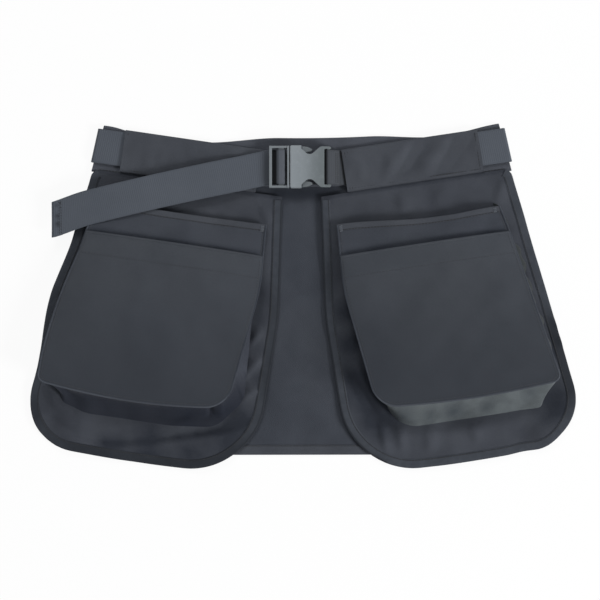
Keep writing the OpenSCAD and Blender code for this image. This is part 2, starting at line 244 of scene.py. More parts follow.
def twill(name, cool, warm, height_shade=None, mottle=0.5, cloud_size=17.0):
    """mottle is the strength of the dull clouds, and a larger cloud_size makes them smaller.

    height_shade is painted shade by height: how far it darkens the cloth, the y where it begins, how fast it
    comes on below that (above it, if negative), and the share of the colour that is left.
    """
    cloth = Finish(name, {"Specular IOR Level": 0.16, "Sheen Weight": 0.05, "Sheen Roughness": 0.4})
    x, y = cloth.uv()
    place = cloth.place()
    rib = ((x + y) * (TURN / RIB_PITCH)).sine()
    yarn = ((x - y) * (TURN / (0.5 * RIB_PITCH))).sine()
    drift = cloth.noise(place, 9.0, 3.0)
    fleck = cloth.noise(place, 900.0, 2.0)
    crease = cloth.noise(place, 42.0, 4.0, 0.6)
    cloud = cloth.noise(place, cloud_size, 2.5, 0.55)
    base = cloth.blend(((drift - 0.5) * 1.3 + 0.5).clamp(), cool, warm)
    # The crease noise also darkens the colour where its bump sinks: painted shade in the small creases.
    depth = (rib * 0.05 + (fleck - 0.5) * 0.35 + (crease - 0.5) * 0.22 + 0.5).clamp()
    shade = cloth.blend(depth, toned(cool, 0.55), base)
    bright = cloth.blend(depth, shade, toned(warm, 1.45))
    woven = cloth.blend(0.35, shade, bright)
    woven = cloth.blend(((0.56 - cloud) * 3.2).clamp() * mottle, woven, toned(cool, 0.42))
    # Painted shade by height: it darkens the cloth on one side of a line across the belt.
    if height_shade:
        amount, edge, speed, left_over = height_shade
        up_the_belt = cloth.node("ShaderNodeSeparateXYZ", {}, {0: place}).out(1)
        height_shaded = ((edge - up_the_belt) * speed + (drift - 0.5) * 0.5).clamp() * amount
        woven = cloth.blend(height_shaded, woven, toned(cool, left_over))
    # Painted shade: the marked dark patches darken the cloth, more where the crease noise is high.
    darkening = (cloth.darkening() * (crease * 1.6 + 0.2)).at_most(1.0) * 0.74
    woven = cloth.blend(darkening, woven, toned(cool, 0.18, 0.21, 0.26))
    bump = cloth.relief(rib * 0.5 + yarn * rib * 0.25 + (crease - 0.5) * 2.2, 0.5, 0.00035)
    return cloth.paint(Base_Color=woven, Roughness=0.74 - (fleck - 0.5) * 0.3, Normal=bump)


print("twill ribs are", RIB_PITCH / MM, "mm apart on the UV map")

# %% [markdown]
# The same cloth doesn't look the same all over the belt. The rear sleeve is paler, the pockets' rolled edges
# are painted paler as a highlight where they catch the light, the flaps are more mottled, and painted shade
# darkens the outer pockets towards the foot. The two gussets differ most: the right one is a lit copy of the
# cloth, painted pale, and the left one a shaded copy, painted dark. One finish could be steered by masks,
# but eight finishes from one function are easier to tune one by one.

# %% Eight twills
slate_twill = twill("slate_twill", tint(63, 68, 78), tint(64, 67, 73), mottle=0.45)
sleeve_twill = twill("sleeve_twill", tint(69, 73, 82), tint(71, 74, 79), mottle=0.4)
rear_twill = twill("rear_twill", tint(75, 79, 88), tint(77, 80, 87), mottle=0.4)
# The outer pockets carry painted shade that darkens them towards the foot.
pocket_twill = twill("pocket_twill", tint(68, 73, 82), tint(71, 74, 78), (0.85, 0.085, 5.2, 0.5), 0.35)
flap_twill = twill("flap_twill", tint(66, 70, 80), tint(66, 69, 74), mottle=0.6)
# The rolled edges are paler: a painted highlight where they catch the light.
edge_highlight_twill = twill("edge_highlight_twill", tint(72, 77, 87), tint(75, 79, 85))
# A lit copy of the cloth for the right gusset: painted light, with painted shade on its sides above its foot.
lit_gusset_twill = twill("lit_gusset_twill", tint(92, 99, 103), tint(90, 95, 97), (0.95, -0.095, -45.0, 0.2), 0.8, 34.0)
# A shaded copy of the cloth for the left gusset: painted shade, darkest at its foot.
shaded_gusset_twill = twill("shaded_gusset_twill", tint(59, 64, 77), tint(61, 64, 70), (0.98, -0.088, 45.0, 0.4))
print("eight twill finishes made")

# %% [markdown]
# The binding is a narrow plain-woven tape, darker than the cloth, with fine ribs across it, and rubbed a
# little paler in places. It is woven from the same kind of sine waves as the twill, on the tape's own UV,
# which runs along it in x and round it in y, so that the ribs turn with it round the foot of a flap.

# %% Binding tape finish
TAPE_RIB, TAPE_YARN = 0.0013, 0.0009


def tape(name, colour, worn):
    band = Finish(name, {"Specular IOR Level": 0.16, "Sheen Weight": 0.05, "Sheen Roughness": 0.5})
    x, y = band.uv()
    ribs = (x * (TURN / TAPE_RIB)).sine()
    yarn = (y * (TURN / TAPE_YARN)).sine()
    rub = band.noise(band.place(), 120.0, 3.0)
    woven = band.blend(((rub - 0.42) * 2.0).clamp() * 0.8, colour, worn)
    # Painted shade: the marked dark patches darken the tape nearly to black.
    woven = band.blend(band.darkening().at_most(1.0) * 0.72, woven, toned(colour, 0.2, 0.22, 0.25))
    bump = band.relief(ribs * 0.5 + ribs * yarn * 0.3 + rub, 0.5, 0.0003)
    return band.paint(Base_Color=woven, Roughness=0.72 + (rub - 0.5) * 0.2, Normal=bump)


dark_tape = tape("dark_tape", tint(53, 57, 64), tint(68, 72, 79))
print("binding tape finish made")

# %% [markdown]
# Webbing is woven much coarser than cloth: rows of flat loops, two millimetres long, staggered like bricks,
# with a firm edge cord along both sides. Its loops could be a Brick texture, but two waves, one bent by the
# other, look less regular. Here x of the UV runs across the strap from its middle and y along it.

# %% Webbing finish
WEBBING_HALF = 20.0
LOOP_WIDTH, LOOP_LENGTH, EDGE_CORD = 0.0026, 0.0023, 0.0022


def webbing(name, colour, pale, gloss=0.2):
    """gloss: how much light the yarn's surface throws back, which is little in the buckle's slots."""
    weave = Finish(name, {"Specular IOR Level": gloss, "Sheen Weight": 0.5 * gloss, "Sheen Roughness": 0.4})
    x, y = weave.uv()
    place = weave.place()
    columns = (x * (TURN / LOOP_WIDTH)).sine()
    steps = (y * (TURN / LOOP_LENGTH) + columns * 0.3).sine()
    fuzz = weave.noise(place, 1100.0, 3.0)
    drift = weave.noise(place, 30.0, 2.0)
    edge = ((x.size() - (WEBBING_HALF * MM - EDGE_CORD)) * 900.0).clamp()
    share = (steps * 0.09 + (fuzz - 0.5) * 0.5 + (drift - 0.5) * 0.5 + 0.5 - edge * 0.25).clamp()
    woven = weave.blend(share, colour, pale)
    # Painted shade: the marked dark patches darken the webbing nearly to black.
    woven = weave.blend(weave.darkening().at_most(1.0) * 0.93, woven, toned(colour, 0.05))
    bump = weave.relief(steps * (1 - edge) * 0.6 + edge * 0.5 + (fuzz - 0.5) * 0.8, 0.4, 0.0003)
    return weave.paint(Base_Color=woven, Roughness=0.66 + (fuzz - 0.5) * 0.2, Normal=bump)


slate_webbing = webbing("slate_webbing", tint(64, 69, 77), tint(80, 85, 93))
ladder_webbing = webbing("ladder_webbing", tint(74, 78, 85), tint(94, 98, 105), gloss=0.06)
loop_webbing = webbing("loop_webbing", tint(56, 59, 64), tint(72, 75, 80), gloss=0.1)
print("three webbing finishes made")

# %% [markdown]
# The buckle is acetal with a spark-eroded grain: a grey that is a shade lighter than the cloth, half matt,
# with a fine pebbled relief and faint paler scuffs. The pebbles are finer than any face could be, so very
# fine noise in a Bump node gives them. The socket is painted paler towards its left end, a painted
# reflection of the light; a painted shadow line lies where the two halves meet, and the prongs are a
# darker, shaded copy of the plastic.

# %% Plastic finish
SHEEN_END = 0.024


def grained_plastic(name, colour, scuff_and_sheen, painted_sheen=0.0, seam=None):
    """painted_sheen: a painted reflection, paler left of SHEEN_END; seam: the x of a painted shadow line."""
    shell = Finish(name, {"Specular IOR Level": 0.5, "IOR": 1.48})
    place = shell.place()
    grain = shell.noise(place, 2600.0, 2.0)
    scuff = shell.noise(place, 160.0, 5.0, 0.7)
    share = ((scuff - 0.5) * 3.0).clamp() * 0.3
    along = shell.node("ShaderNodeSeparateXYZ", {}, {0: place})
    if painted_sheen:
        # A painted reflection: the shell is paler towards its left end.
        share = (share + ((SHEEN_END - along) * 28.0).at_least(0.0) * painted_sheen).at_most(1.0)
    tone = shell.blend(share, colour, scuff_and_sheen)
    if seam:
        # A painted shadow line in the gap where the two halves meet.
        gap_shade = (2.2 - (along - seam).size() * 2400.0).clamp() * 0.94
        tone = shell.blend(gap_shade, tone, toned(colour, 0.03))
    rough = 0.40 + (grain - 0.5) * 0.2 + share * 0.1
    return shell.paint(Base_Color=tone, Roughness=rough, Normal=shell.relief(grain, 0.25, 0.0001))


grey_acetal = grained_plastic("grey_acetal", tint(108, 114, 119), tint(126, 132, 136), seam=-0.0137)
# The prongs' plastic is a shaded copy: painted shade.
shaded_prong_acetal = grained_plastic("shaded_prong_acetal", tint(84, 90, 94), tint(100, 106, 110))
# The socket's plastic carries a painted reflection towards its left end.
socket_acetal = grained_plastic("socket_acetal", tint(86, 93, 96), tint(128, 135, 140), painted_sheen=1.0)
print("three plastic finishes made")

# %% [markdown]
# The thread is a twisted polyester yarn. Its two plies could be modelled, but a stitch is only a pixel wide
# here, so a Wave texture that runs slantwise gives the twist. The seams use a dark, a soft and a pale one.

# %% Thread finish
def spun_thread(name, colour, pale):
    yarn = Finish(name, {"Specular IOR Level": 0.3, "Sheen Weight": 0.2})
    twist = yarn.node("ShaderNodeTexWave", {"bands_direction": "DIAGONAL"},
                      {"Vector": yarn.place(), "Scale": 700.0, "Distortion": 2.0}).out(1)
    bump = yarn.relief(twist, 0.4, 0.0001)
    return yarn.paint(Base_Color=yarn.blend(twist, colour, pale), Roughness=0.6 + twist * 0.15, Normal=bump)


dark_thread = spun_thread("dark_thread", tint(18, 20, 24), tint(29, 31, 37))
soft_thread = spun_thread("soft_thread", tint(36, 39, 45), tint(47, 50, 57))
pale_thread = spun_thread("pale_thread", tint(72, 77, 85), tint(94, 99, 107))
print("three thread finishes made")

# %% [markdown]
# The floor is plain white card. A camera ray sees mostly an even white and a little of the lit card, so
# that the background stays as white as the photograph's while the belt keeps a soft shadow. More light
# could whiten it too, but that would wash out the cloth.

# %% Floor and world
FLOOR_SIZE, FLOOR_DROP = 12, 0.0006
EVEN_WHITE, ROOM_LIGHT = 0.92, 0.36


def seen_directly(tree):
    """1 for rays that show the background itself: from the camera, or mirrored or passed on by a surface."""
    path = tree.node("ShaderNodeLightPath")
    return path.at_least(path.out(3)).at_least(path.out(6))


bpy.ops.object.select_all(action="DESELECT")
bpy.ops.mesh.primitive_plane_add(size=FLOOR_SIZE, location=(0, 0, -FLOOR_DROP))
floor = bpy.context.object
floor.name = "white_card"
card = Finish("white_card", {"Base Color": (0.9, 0.9, 0.9, 1.0), "Roughness": 0.9, "Specular IOR Level": 0.1})
glow = card.node("ShaderNodeEmission", {}, {"Color": (1, 1, 1, 1), "Strength": 1.0})
lit_card = Term(card, card.shader.outputs[0])
shown = card.node("ShaderNodeMixShader", {}, {0: seen_directly(card) * EVEN_WHITE, 1: lit_card, 2: glow})
card.tree.links.new(shown.socket, card.tree.nodes["Material Output"].inputs["Surface"])
floor.data.materials.append(card.material)

scene.world = bpy.data.worlds.new("studio")
scene.world.use_nodes = True
sky = Tree(scene.world.node_tree)
room = sky.node("ShaderNodeBackground", {}, {"Color": (0.97, 0.985, 1.0, 1), "Strength": ROOM_LIGHT})
white = sky.node("ShaderNodeBackground", {}, {"Color": (1, 1, 1, 1), "Strength": 1.0})
both = sky.node("ShaderNodeMixShader", {}, {0: seen_directly(sky), 1: room, 2: white})
sky.tree.links.new(both.socket, sky.tree.nodes["World Output"].inputs["Surface"])
print("floor and world made")

# %% [markdown]
# The world gives even light from all round. On the photograph the folds are lit from low on the right, and
# more weakly from beyond the waist, so two soft boxes stand there. Area lamps give the broad, soft edge of
# studio light.

# %% Two soft boxes
BOX_SIZE = 1.2


def soft_box(name, place, power):
    """A square area lamp that faces the middle of the belt."""
    bpy.ops.object.select_all(action="DESELECT")
    bpy.ops.object.light_add(type="AREA", location=place)
    lamp = bpy.context.object
    lamp.name, lamp.data.shape, lamp.data.size, lamp.data.energy = name, "SQUARE", BOX_SIZE, power
    lamp.rotation_euler = (-lamp.location).to_track_quat("-Z", "Y").to_euler()


soft_box("key_box", (3.2, -1.7, 1.9), 156)
soft_box("top_box", (-0.6, 2.9, 2.6), 56)
print("two soft boxes made")

# %% [markdown]
# Three sloping frames carry the front of the belt, and the same numbers as in the CAD place them: the front
# sleeve climbs outwards by 8.4 degrees, the flap hangs from the sleeve's lower edge, and the pocket's front
# tilts out from the flap. Turned empties could be such frames, but a function can bend a frame too. All
# shaping is done in millimetres; a left-hand piece is the right-hand one mirrored.

# %% The front sleeve's frame
SLOPE = math.radians(8.4)
BELT_START = (50.0, 144.175)
RIGHT, LEFT = 1, -1
NAMES = {RIGHT: "right", LEFT: "left"}
SLEEVE_BODY = {RIGHT: "waist", LEFT: "left_front"}
FLAP_BODY = {RIGHT: "right_flap", LEFT: "left_flap"}


def on_belt(side, u, v, z):
    """Points of a front sleeve in the CAD frame: u outwards, v up the body."""
    u, v, z = np.broadcast_arrays(np.asarray(u, float), np.asarray(v, float), np.asarray(z, float))
    x = BELT_START[0] + u * math.cos(SLOPE) - v * math.sin(SLOPE)
    y = BELT_START[1] + u * math.sin(SLOPE) + v * math.cos(SLOPE)
    return np.stack([side * x, y, z], -1)


def ease(value, low, high):
    """0 below low, 1 above high, and a smooth step between."""
    k = np.clip((np.asarray(value, float) - low) / (high - low), 0, 1)
    return k * k * (3 - 2 * k)


def swell(value, low, high):
    """0 at low and at high, 1 half way, like one arch of a wave."""
    return np.sin(math.pi * np.clip((np.asarray(value, float) - low) / (high - low), 0, 1))


print("right sleeve ends at", np.round(on_belt(RIGHT, 160, 0, 6), 1))

# %% [markdown]
# On the photograph neither side lies quite square. The flaps' feet hang in a slight bow, the left flap has
# slid outwards, and the right pocket's mouth sags. The pieces could each be bent afterwards by a lattice,
# but then their edges would drift apart, so the bends belong to the frames, and whatever lies in a frame
# follows them.

# %% The flap's and the pocket's frames
FLAP_LENGTH, POCKET_LENGTH, POCKET_RISE = 326, 216, 22
TILT = math.atan(POCKET_RISE / POCKET_LENGTH)
SEAM_V, FLAP_Z, MOUTH_V, MOUTH_GAP = -25.85, 4.5, -36.0, 6.0
HALF_CLOTH = 0.4


def left_slide(u, v):
    """How far the outer half of the left flap has slid outwards, or in by its foot, when it was laid down."""
    slid = 6.2 * ease(-v, 80, 150) - 9.2 * ease(-v, 150, 255) + 3 * ease(-v, 270, FLAP_LENGTH)
    return slid * ease(u, 120, 200)


def on_flap(side, u, v, z=0.0):
    """CAD-frame points of a flap: v = 0 at its seam, z from the middle of its cloth."""
    u, v = np.asarray(u, float), np.asarray(v, float)
    if side == LEFT:
        u = u + left_slide(u, v)
    else:
        v = v - 0.9 * np.sin(u / 9.0) * swell(u, 130, 236) * ease(-v, 255, 310)
    bowed = SEAM_V + v - 4.0 * swell(u, -25, 205) * ease(-v, 265, FLAP_LENGTH)
    return on_belt(side, u, bowed, FLAP_Z + np.asarray(z, float))


def on_pocket(side, a, b, c=0.0):
    """CAD-frame points of a pocket's front: b = 0 at its mouth, c out from the underside of its cloth."""
    a, b, c = np.asarray(a, float), np.asarray(b, float), np.asarray(c, float)
    sag = (8.2 * ease(a, -18, 95) - 2 * ease(a, 113, 172)) if side == RIGHT else 1.5 * swell(a, -18, 172)
    foot_bow = 5 if side == RIGHT else 8
    b = b - sag * ease(b, -36, 0) - foot_bow * swell(a, -4, 209) * ease(-b, 150, POCKET_LENGTH)
    if side == LEFT:
        slid = (9 + 4 * swell(-b, 60, 205) - 2 * ease(-b, 180, POCKET_LENGTH)) * ease(a, 60, 185)
        a = a + slid - left_slide(a, MOUTH_V + b)
    v = b * math.cos(TILT) + c * math.sin(TILT)
    z = -b * math.sin(TILT) + c * math.cos(TILT)
    return on_flap(side, a, MOUTH_V + v, HALF_CLOTH + MOUTH_GAP + z)


print("right seam starts at", np.round(on_flap(RIGHT, 0, 0), 2))

# %% [markdown]
# Behind, the belt follows one wide curve, so its frame runs along an arc. The photograph shows the rear
# sleeve's upper edge sunk on both sides of the buckle, more on the left; one function says how far, for the
# sleeve and its strap.

# %% The rear curve's frame
REAR_RADIUS, REAR_Y = 1629.21, 154.459


def on_rear(run, h, z):
    """CAD-frame points of the rear curve: run along it from the middle, h up the body."""
    run, h, z = np.broadcast_arrays(np.asarray(run, float), np.asarray(h, float), np.asarray(z, float))
    angle = run / REAR_RADIUS
    r = REAR_RADIUS - h
    return np.stack([r * np.sin(angle), REAR_Y + REAR_RADIUS - r * np.cos(angle), z], -1)


def rear_dip(run):
    """How far the rear sleeve's upper edge has sunk."""
    left = (1.5 + 4.0 * ease(run, -232, -196) + 3.5 * ease(run, -196, -122)) * (1 - ease(run, -122, -25))
    return left + 6.2 * ease(run, 80, 160) * (1 - ease(run, 162, 240))


print("rear edge sinks by up to", round(float(rear_dip(np.arange(-238, 239)).max()), 1), "mm")

# %% [markdown]
# A flap or pocket is cut to an outline: corner points with rounded corners. A cloth panel could be a filled
# curve, but its triangles would fold badly, so it is filled in rows from its mouth to its foot. For that
# the outline is split at the foot into an inner and an outer side, and each row reaches from one to the
# other.

# %% Rounded outlines
def rounded(corners, radii, steps=16):
    """A closed outline with its corners rounded; radius 0 keeps a corner."""
    out, n = [], len(corners)
    for i, (corner, r) in enumerate(zip(corners, radii)):
        corner = np.array(corner, float)
        if r == 0:
            out.append(corner)
            continue
        a, b = (np.array(corners[(i + k) % n], float) - corner for k in (-1, 1))
        a, b = a / np.linalg.norm(a), b / np.linalg.norm(b)
        half = math.acos(float(a @ b)) / 2
        centre = corner + (a + b) / np.linalg.norm(a + b) * r / math.sin(half)
        start, end = (corner + d * r / math.tan(half) - centre for d in (a, b))
        first = math.atan2(start[1], start[0])
        sweep = (math.atan2(end[1], end[0]) - first + math.pi) % TURN - math.pi
        for angle in (first + sweep * k / steps for k in range(steps + 1)):
            out.append(centre + r * np.array([math.cos(angle), math.sin(angle)]))
    return np.array(out)


print("a rounded square has", len(rounded([(0, 0), (9, 0), (9, 9), (0, 9)], [2, 2, 2, 2])), "points")

# %% [markdown]
# The flap is long and rounded at both lower corners, and the pocket's front is shorter, with a sharper
# outer corner. Both outlines are corner points measured in the photograph, each with its radius; a traced
# outline would have many more points and no clear corners. They are split into sides here, and their area
# tells how much cloth each one takes.

# %% Outlines of the flap and the pocket
def split_at_foot(edge):
    """The inner and the outer side of an outline, each from low to high."""
    first = int(np.argmax(edge[:, 1] < edge[:, 1].min() + 1e-6))
    return edge[: first + 1][::-1], edge[first + 1:]


def reach(side, depth):
    """How far outwards a side of an outline is at a depth."""
    return np.interp(depth, side[:, 1], side[:, 0])


def area_of(edge):
    """The area inside an outline in millimetres, in square metres."""
    x, y = edge.T
    return abs(np.dot(x, np.roll(y, 1)) - np.dot(y, np.roll(x, 1))) / 2 * MM * MM


FLAP_CORNER, POCKET_CORNER = 58, 28
FLAP_EDGE = rounded([(-31, 0), (-47, -140.18), (-44, -FLAP_LENGTH), (236, -FLAP_LENGTH), (191, 0)],
                    [0, 300, 82, FLAP_CORNER, 10])
POCKET_EDGE = rounded([(-18, 0), (-22, -75.6), (-4, -POCKET_LENGTH), (209, -POCKET_LENGTH), (172, 0)],
                      [0, 220, POCKET_CORNER, 8, 0])
FLAP_SIDES, POCKET_SIDES = split_at_foot(FLAP_EDGE), split_at_foot(POCKET_EDGE)
print("a flap is cut from", round(area_of(FLAP_EDGE) * 1e4), "square centimetres of cloth")

# %% [markdown]
# Bindings, hems and stitches all follow lines. They could be curve objects, but working on points keeps
# every line in the belt's own frames, so a few small functions measure a line of points and step along it.

# %% Walks along lines
def run_of(path):
    """The distance from the start of a line to each of its points."""
    return np.r_[0, np.cumsum(np.linalg.norm(np.diff(path, axis=0), axis=1))]


def walk(path, step):
    """Points at even steps along a line of points."""
    path = np.asarray(path, float)
    run = run_of(path)
    even = np.linspace(0, run[-1], max(2, int(round(run[-1] / step)) + 1))
    return np.stack([np.interp(even, run, c) for c in path.T], -1)


def by_share(path, share):
    """Points at shares of the way along a line of points."""
    run = run_of(path)
    return np.stack([np.interp(share * run[-1], run, c) for c in path.T], -1)


def leftwards(path):
    """Unit vectors to the left of a walk."""
    d = np.gradient(path, axis=0)
    d = d / np.linalg.norm(d, axis=1)[:, None]
    return np.stack([-d[:, 1], d[:, 0]], -1)


print("a flap's outline is", round(run_of(FLAP_EDGE)[-1]), "mm long")

# %% [markdown]
# Cloth never lies flat. Its folds could be simulated, but here they must fall where the photograph shows
# them, so they are sculpted in code: broad random ripples, and single folds along given lines, steeper on
# one side, that die out at both ends. All are heights over the belt's own plane.

# %% Ripples and folds
WAVES = 10


def ripples(x, y, length, seed):
    """Smooth random ripples, about one high."""
    dice = np.random.default_rng(seed)
    turns = dice.uniform(0, math.pi, WAVES)
    phases = dice.uniform(0, TURN, WAVES)
    stretches = dice.uniform(0.6, 1.6, WAVES)
    total = np.zeros(np.shape(x))
    for turn, phase, stretch in zip(turns, phases, stretches):
        total = total + np.sin((x * math.cos(turn) + y * math.sin(turn)) * TURN / (length * stretch) + phase)
    return total / 4


def fold(x, y, line, height, width, lee=None):
    """One soft fold along a line of points; lee is its width on the right-hand side of the line."""
    line = np.array(line, float)
    starts = run_of(line)
    near, along, hand = np.full(np.shape(x), 1e9), np.zeros(np.shape(x)), np.zeros(np.shape(x))
    for i, span in enumerate(np.linalg.norm(np.diff(line, axis=0), axis=1)):
        dx, dy = (line[i + 1] - line[i]) / span
        k = np.clip((x - line[i, 0]) * dx + (y - line[i, 1]) * dy, 0, span)
        off = np.hypot(x - line[i, 0] - k * dx, y - line[i, 1] - k * dy)
        closer = off < near
        near = np.where(closer, off, near)
        along = np.where(closer, (starts[i] + k) / starts[-1], along)
        hand = np.where(closer, dx * (y - line[i, 1]) - dy * (x - line[i, 0]), hand)
    wide = np.where(hand >= 0, width, lee or width)
    return height * np.exp(-(near / wide) ** 2) * np.sin(math.pi * np.clip(along, 0.02, 0.98)) ** 0.7


print("a fold's crest is", fold(np.array([5.0]), np.array([0.0]), [(0, 0), (10, 0)], 2.0, 4)[0], "mm high")

# %% [markdown]
# The right flap has short folds over its foot and dents beside the pocket. The left one has a long crease
# under its pocket. They could be drawn with a sculpting brush, but a list of lines can be read, moved and
# measured. Each fold here is its line on the belt, its height, and its width to the left and to the right
# of the line.

# %% Folds of the flaps
LEFT_CREASE = [(-290, -146), (-262, -165), (-231, -171), (-198, -171), (-166, -168), (-119, -161),
               (-84, -156), (-58, -146)]
FLAP_FOLDS = {
    RIGHT: [
        ([(91, -145), (99, -185)], 2.2, 6, 4),
        ([(113, -152), (117, -184)], 1.9, 6, 5),
        ([(150, -156), (147, -184)], 2.4, 9, 6),
        ([(198, -150), (207, -174)], 2.0, 11, 7),
        ([(52, -84), (62, -108), (72, -124), (86, -140)], -3.0, 9, 8),
        ([(113, 124), (121, 92)], 1.9, 9, 7),
        ([(236, 134), (227, 102)], 1.8, 8, 6),
        ([(163, 129), (157, 102)], 1.2, 10, 8),
        ([(290, -30), (306, -42)], 1.6, 6, 4),
        ([(296, -52), (311, -61)], 1.6, 6, 4),
        ([(236, -166), (286, -138), (304, -104)], -2.4, 20, 14),
        ([(64, -38), (70, -66)], -1.8, 7, 6),
        ([(60, -74), (70, -100), (82, -122), (98, -140)], 3.2, 6, 4),
        ([(96, -166), (170, -162), (240, -151), (288, -136)], 2.2, 9, 9),
    ],
    LEFT: [
        (LEFT_CREASE, -3.2, 12, 3),
        ([(-303, -106), (-286, -126), (-268, -138)], 2.6, 8, 4),
        ([(-70, -99), (-57, -86), (-45, -73)], 3.8, 8, 3),
        ([(-71, -123), (-51, -111)], 3.8, 8, 3),
        ([(-62, -62), (-44, -39)], 2.0, 7, 3),
        ([(-250, -178), (-200, -190), (-150, -194)], -1.6, 10, 8),
        ([(-48, 104), (-36, 82)], 1.6, 6, 5),
        ([(-300, -140), (-286, -160)], -1.6, 12, 10),
        ([(-66, -30), (-62, -55)], -1.4, 7, 6),
    ],
}
print("right flap carries", len(FLAP_FOLDS[RIGHT]), "folds, left flap", len(FLAP_FOLDS[LEFT]))

# %% [markdown]
# The cloth lies calm along its sewn seam, and the folds grow away from it. A Displace modifier could lift
# one panel, but the binding, the gusset and the stitches have to rise with the flap. So one function tells
# how high the flap stands at any place, and all of them use it.

# %% A flap as it lies
FOLD_STRENGTH = 1.4


def flap_rise(side, xy):
    """How far a flap's cloth stands off its flat place; it lies calm along its seam."""
    x, y = xy[..., 0], xy[..., 1]
    rise = 1.3 * ripples(x, y, 95, 3 + side) + 0.5 * ripples(x, y, 36, 8 + side)
    for one in FLAP_FOLDS[side]:
        rise = rise + FOLD_STRENGTH * fold(x, y, *one)
    depth = BELT_START[1] + (np.abs(x) - BELT_START[0]) * math.tan(SLOPE) - y
    return np.clip(rise, -3.0, 6.0) * ease(depth, 27, 46)


def draped(side, u, v, z=0.0):
    """CAD-frame points of a flap as it lies, with its folds."""
    points = on_flap(side, u, v, z)
    points[..., 2] += flap_rise(side, points)
    return points


print("in its middle the right flap lies", round(float(draped(RIGHT, 90.0, -160.0)[2]), 1), "mm high")

# %% [markdown]
# A panel starts as a grid primitive. Each vertex knows its share across and down the grid, which a placing
# rule turns into its place on the belt; the UV map becomes the flat cut in metres, so that the weave keeps
# its scale. A Solidify modifier gives it its thickness.

# %% A grid with a shape
def select_only(piece):
    bpy.ops.object.select_all(action="DESELECT")
    piece.select_set(True)
    bpy.context.view_layer.objects.active = piece


def add_grid(name, across, down):
    """A grid primitive with each vertex's share across and down it."""
    bpy.ops.object.select_all(action="DESELECT")
    bpy.ops.mesh.primitive_grid_add(x_subdivisions=across, y_subdivisions=down, size=1)
    piece = bpy.context.object
    piece.name = piece.data.name = name
    co = np.empty(len(piece.data.vertices) * 3)
    piece.data.vertices.foreach_get("co", co)
    co = co.reshape(-1, 3)
    return piece, co[:, 0] + 0.5, 0.5 - co[:, 1]


def set_shape(piece, places, flat):
    """Moves the grid to its places and its UV to the flat cut, both given in millimetres."""
    mesh = piece.data
    mesh.vertices.foreach_set("co", (np.asarray(places) * MM).ravel())
    corner = np.empty(len(mesh.loops), np.int32)
    mesh.loops.foreach_get("vertex_index", corner)
    mesh.uv_layers[0].name = "UVMap"
    mesh.uv_layers[0].data.foreach_set("uv", (np.asarray(flat) * MM)[corner].ravel())
    mesh.update()


def thicken(piece, thickness, offset=0.0):
    select_only(piece)
    wall = piece.modifiers.new("cloth", "SOLIDIFY")
    wall.thickness, wall.offset, wall.use_even_offset = thickness * MM, offset, True
    bpy.ops.object.modifier_apply(modifier=wall.name)


print("grid tools ready, for cloth", 2 * HALF_CLOTH, "mm thick")

# %% [markdown]
# A panel of cloth is given by two rules: where each of its points lies on the belt, and where it was on the
# flat cut. Round lower corners could be trimmed with a Boolean, but that leaves ragged faces. Here the rows
# close up round the corners, and each row reaches from side to side.

# %% Panels of cloth
def cloth_panel(name, side, across, down, place, flat, thickness=2 * HALF_CLOTH):
    """place and flat turn shares across and down into points and into the flat cut, in millimetres."""
    piece, s, t = add_grid(name, across, down)
    set_shape(piece, place(s, t), flat(s, t))
    if side == LEFT:
        piece.data.flip_normals()
    thicken(piece, thickness)
    return piece


def rows_down(t, length, corner):
    """Depths of the rows of a panel with round lower corners: even first, then closing up round them."""
    straight = length - corner
    share = straight / (straight + 1.2 * corner)
    turned = np.sin(np.clip((t - share) / (1 - share), 0, 1) * math.pi / 2)
    return np.where(t < share, -straight * t / share, -straight - corner * turned)


def along_row(sides, depth, share, inset=0.0):
    """The place at a share of a row from the inner to the outer side of an outline."""
    inner, outer = reach(sides[0], depth) + inset, reach(sides[1], depth) - inset
    return inner + (outer - inner) * share


print("half way down, a flap is", round(float(np.diff([reach(s, -163) for s in FLAP_SIDES])[0])), "mm wide")

# %% [markdown]
# The belt is darker in places, mostly under edges, beside the pockets, in corners and creases and in the
# buckle's slots, where shade falls, so most of that darkness is painted shade. It could be painted by hand.
# Here soft round patches are summed up at each vertex, and the finishes read them as an attribute.

# %% Finish and painted shade of a piece
SMOOTH_BELOW = math.radians(50)
UPWARD, SIDEWAYS, ALL_ROUND = 0.3, -0.4, -2.0


def finish_piece(piece, material, body, replaces=()):
    """Smooth shading, a material, the body that carries it if one is given, and hiding what it replaces."""
    select_only(piece)
    bpy.ops.object.shade_smooth_by_angle(angle=SMOOTH_BELOW)
    piece.data.materials.clear()
    piece.data.materials.append(material)
    if body:
        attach(piece, body)
    if replaces:
        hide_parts(*replaces)


def mark_darkening(piece, marks, facing=UPWARD):
    """Marks round dark patches, most of them painted shade, each with its middle and radius in mm and its
    depth.

    facing is how far upwards a surface has to look, as its normal's height, to take the patches.
    """
    places, normals = np.zeros((2, len(piece.data.vertices), 3))
    piece.data.vertices.foreach_get("co", places.ravel())
    piece.data.vertices.foreach_get("normal", normals.ravel())
    darkening = np.zeros(len(places))
    for x, y, radius, deep in marks:
        away = np.hypot(places[:, 0] / MM - x, places[:, 1] / MM - y)
        darkening += deep * np.clip(1 - away / radius, 0, 1)
    darkening = darkening * (normals[:, 2] > facing)
    piece.data.attributes.new("darkening", "FLOAT", "POINT").data.foreach_set("value", darkening.astype(np.float32))


def marks_along(points, radius, deep):
    """The same mark at each of a line of CAD-frame points."""
    return [(x, y, radius, deep) for x, y, z in points]


print("dirt lies on faces whose normals rise more than", UPWARD)

# %% [markdown]
# The flap is one layer of twill, rounded at its foot, that hangs from the sleeve's seam. It could be cut
# from a plain rectangle, but then its weave would stop at a jagged edge; rows between its two sides follow
# the cut.

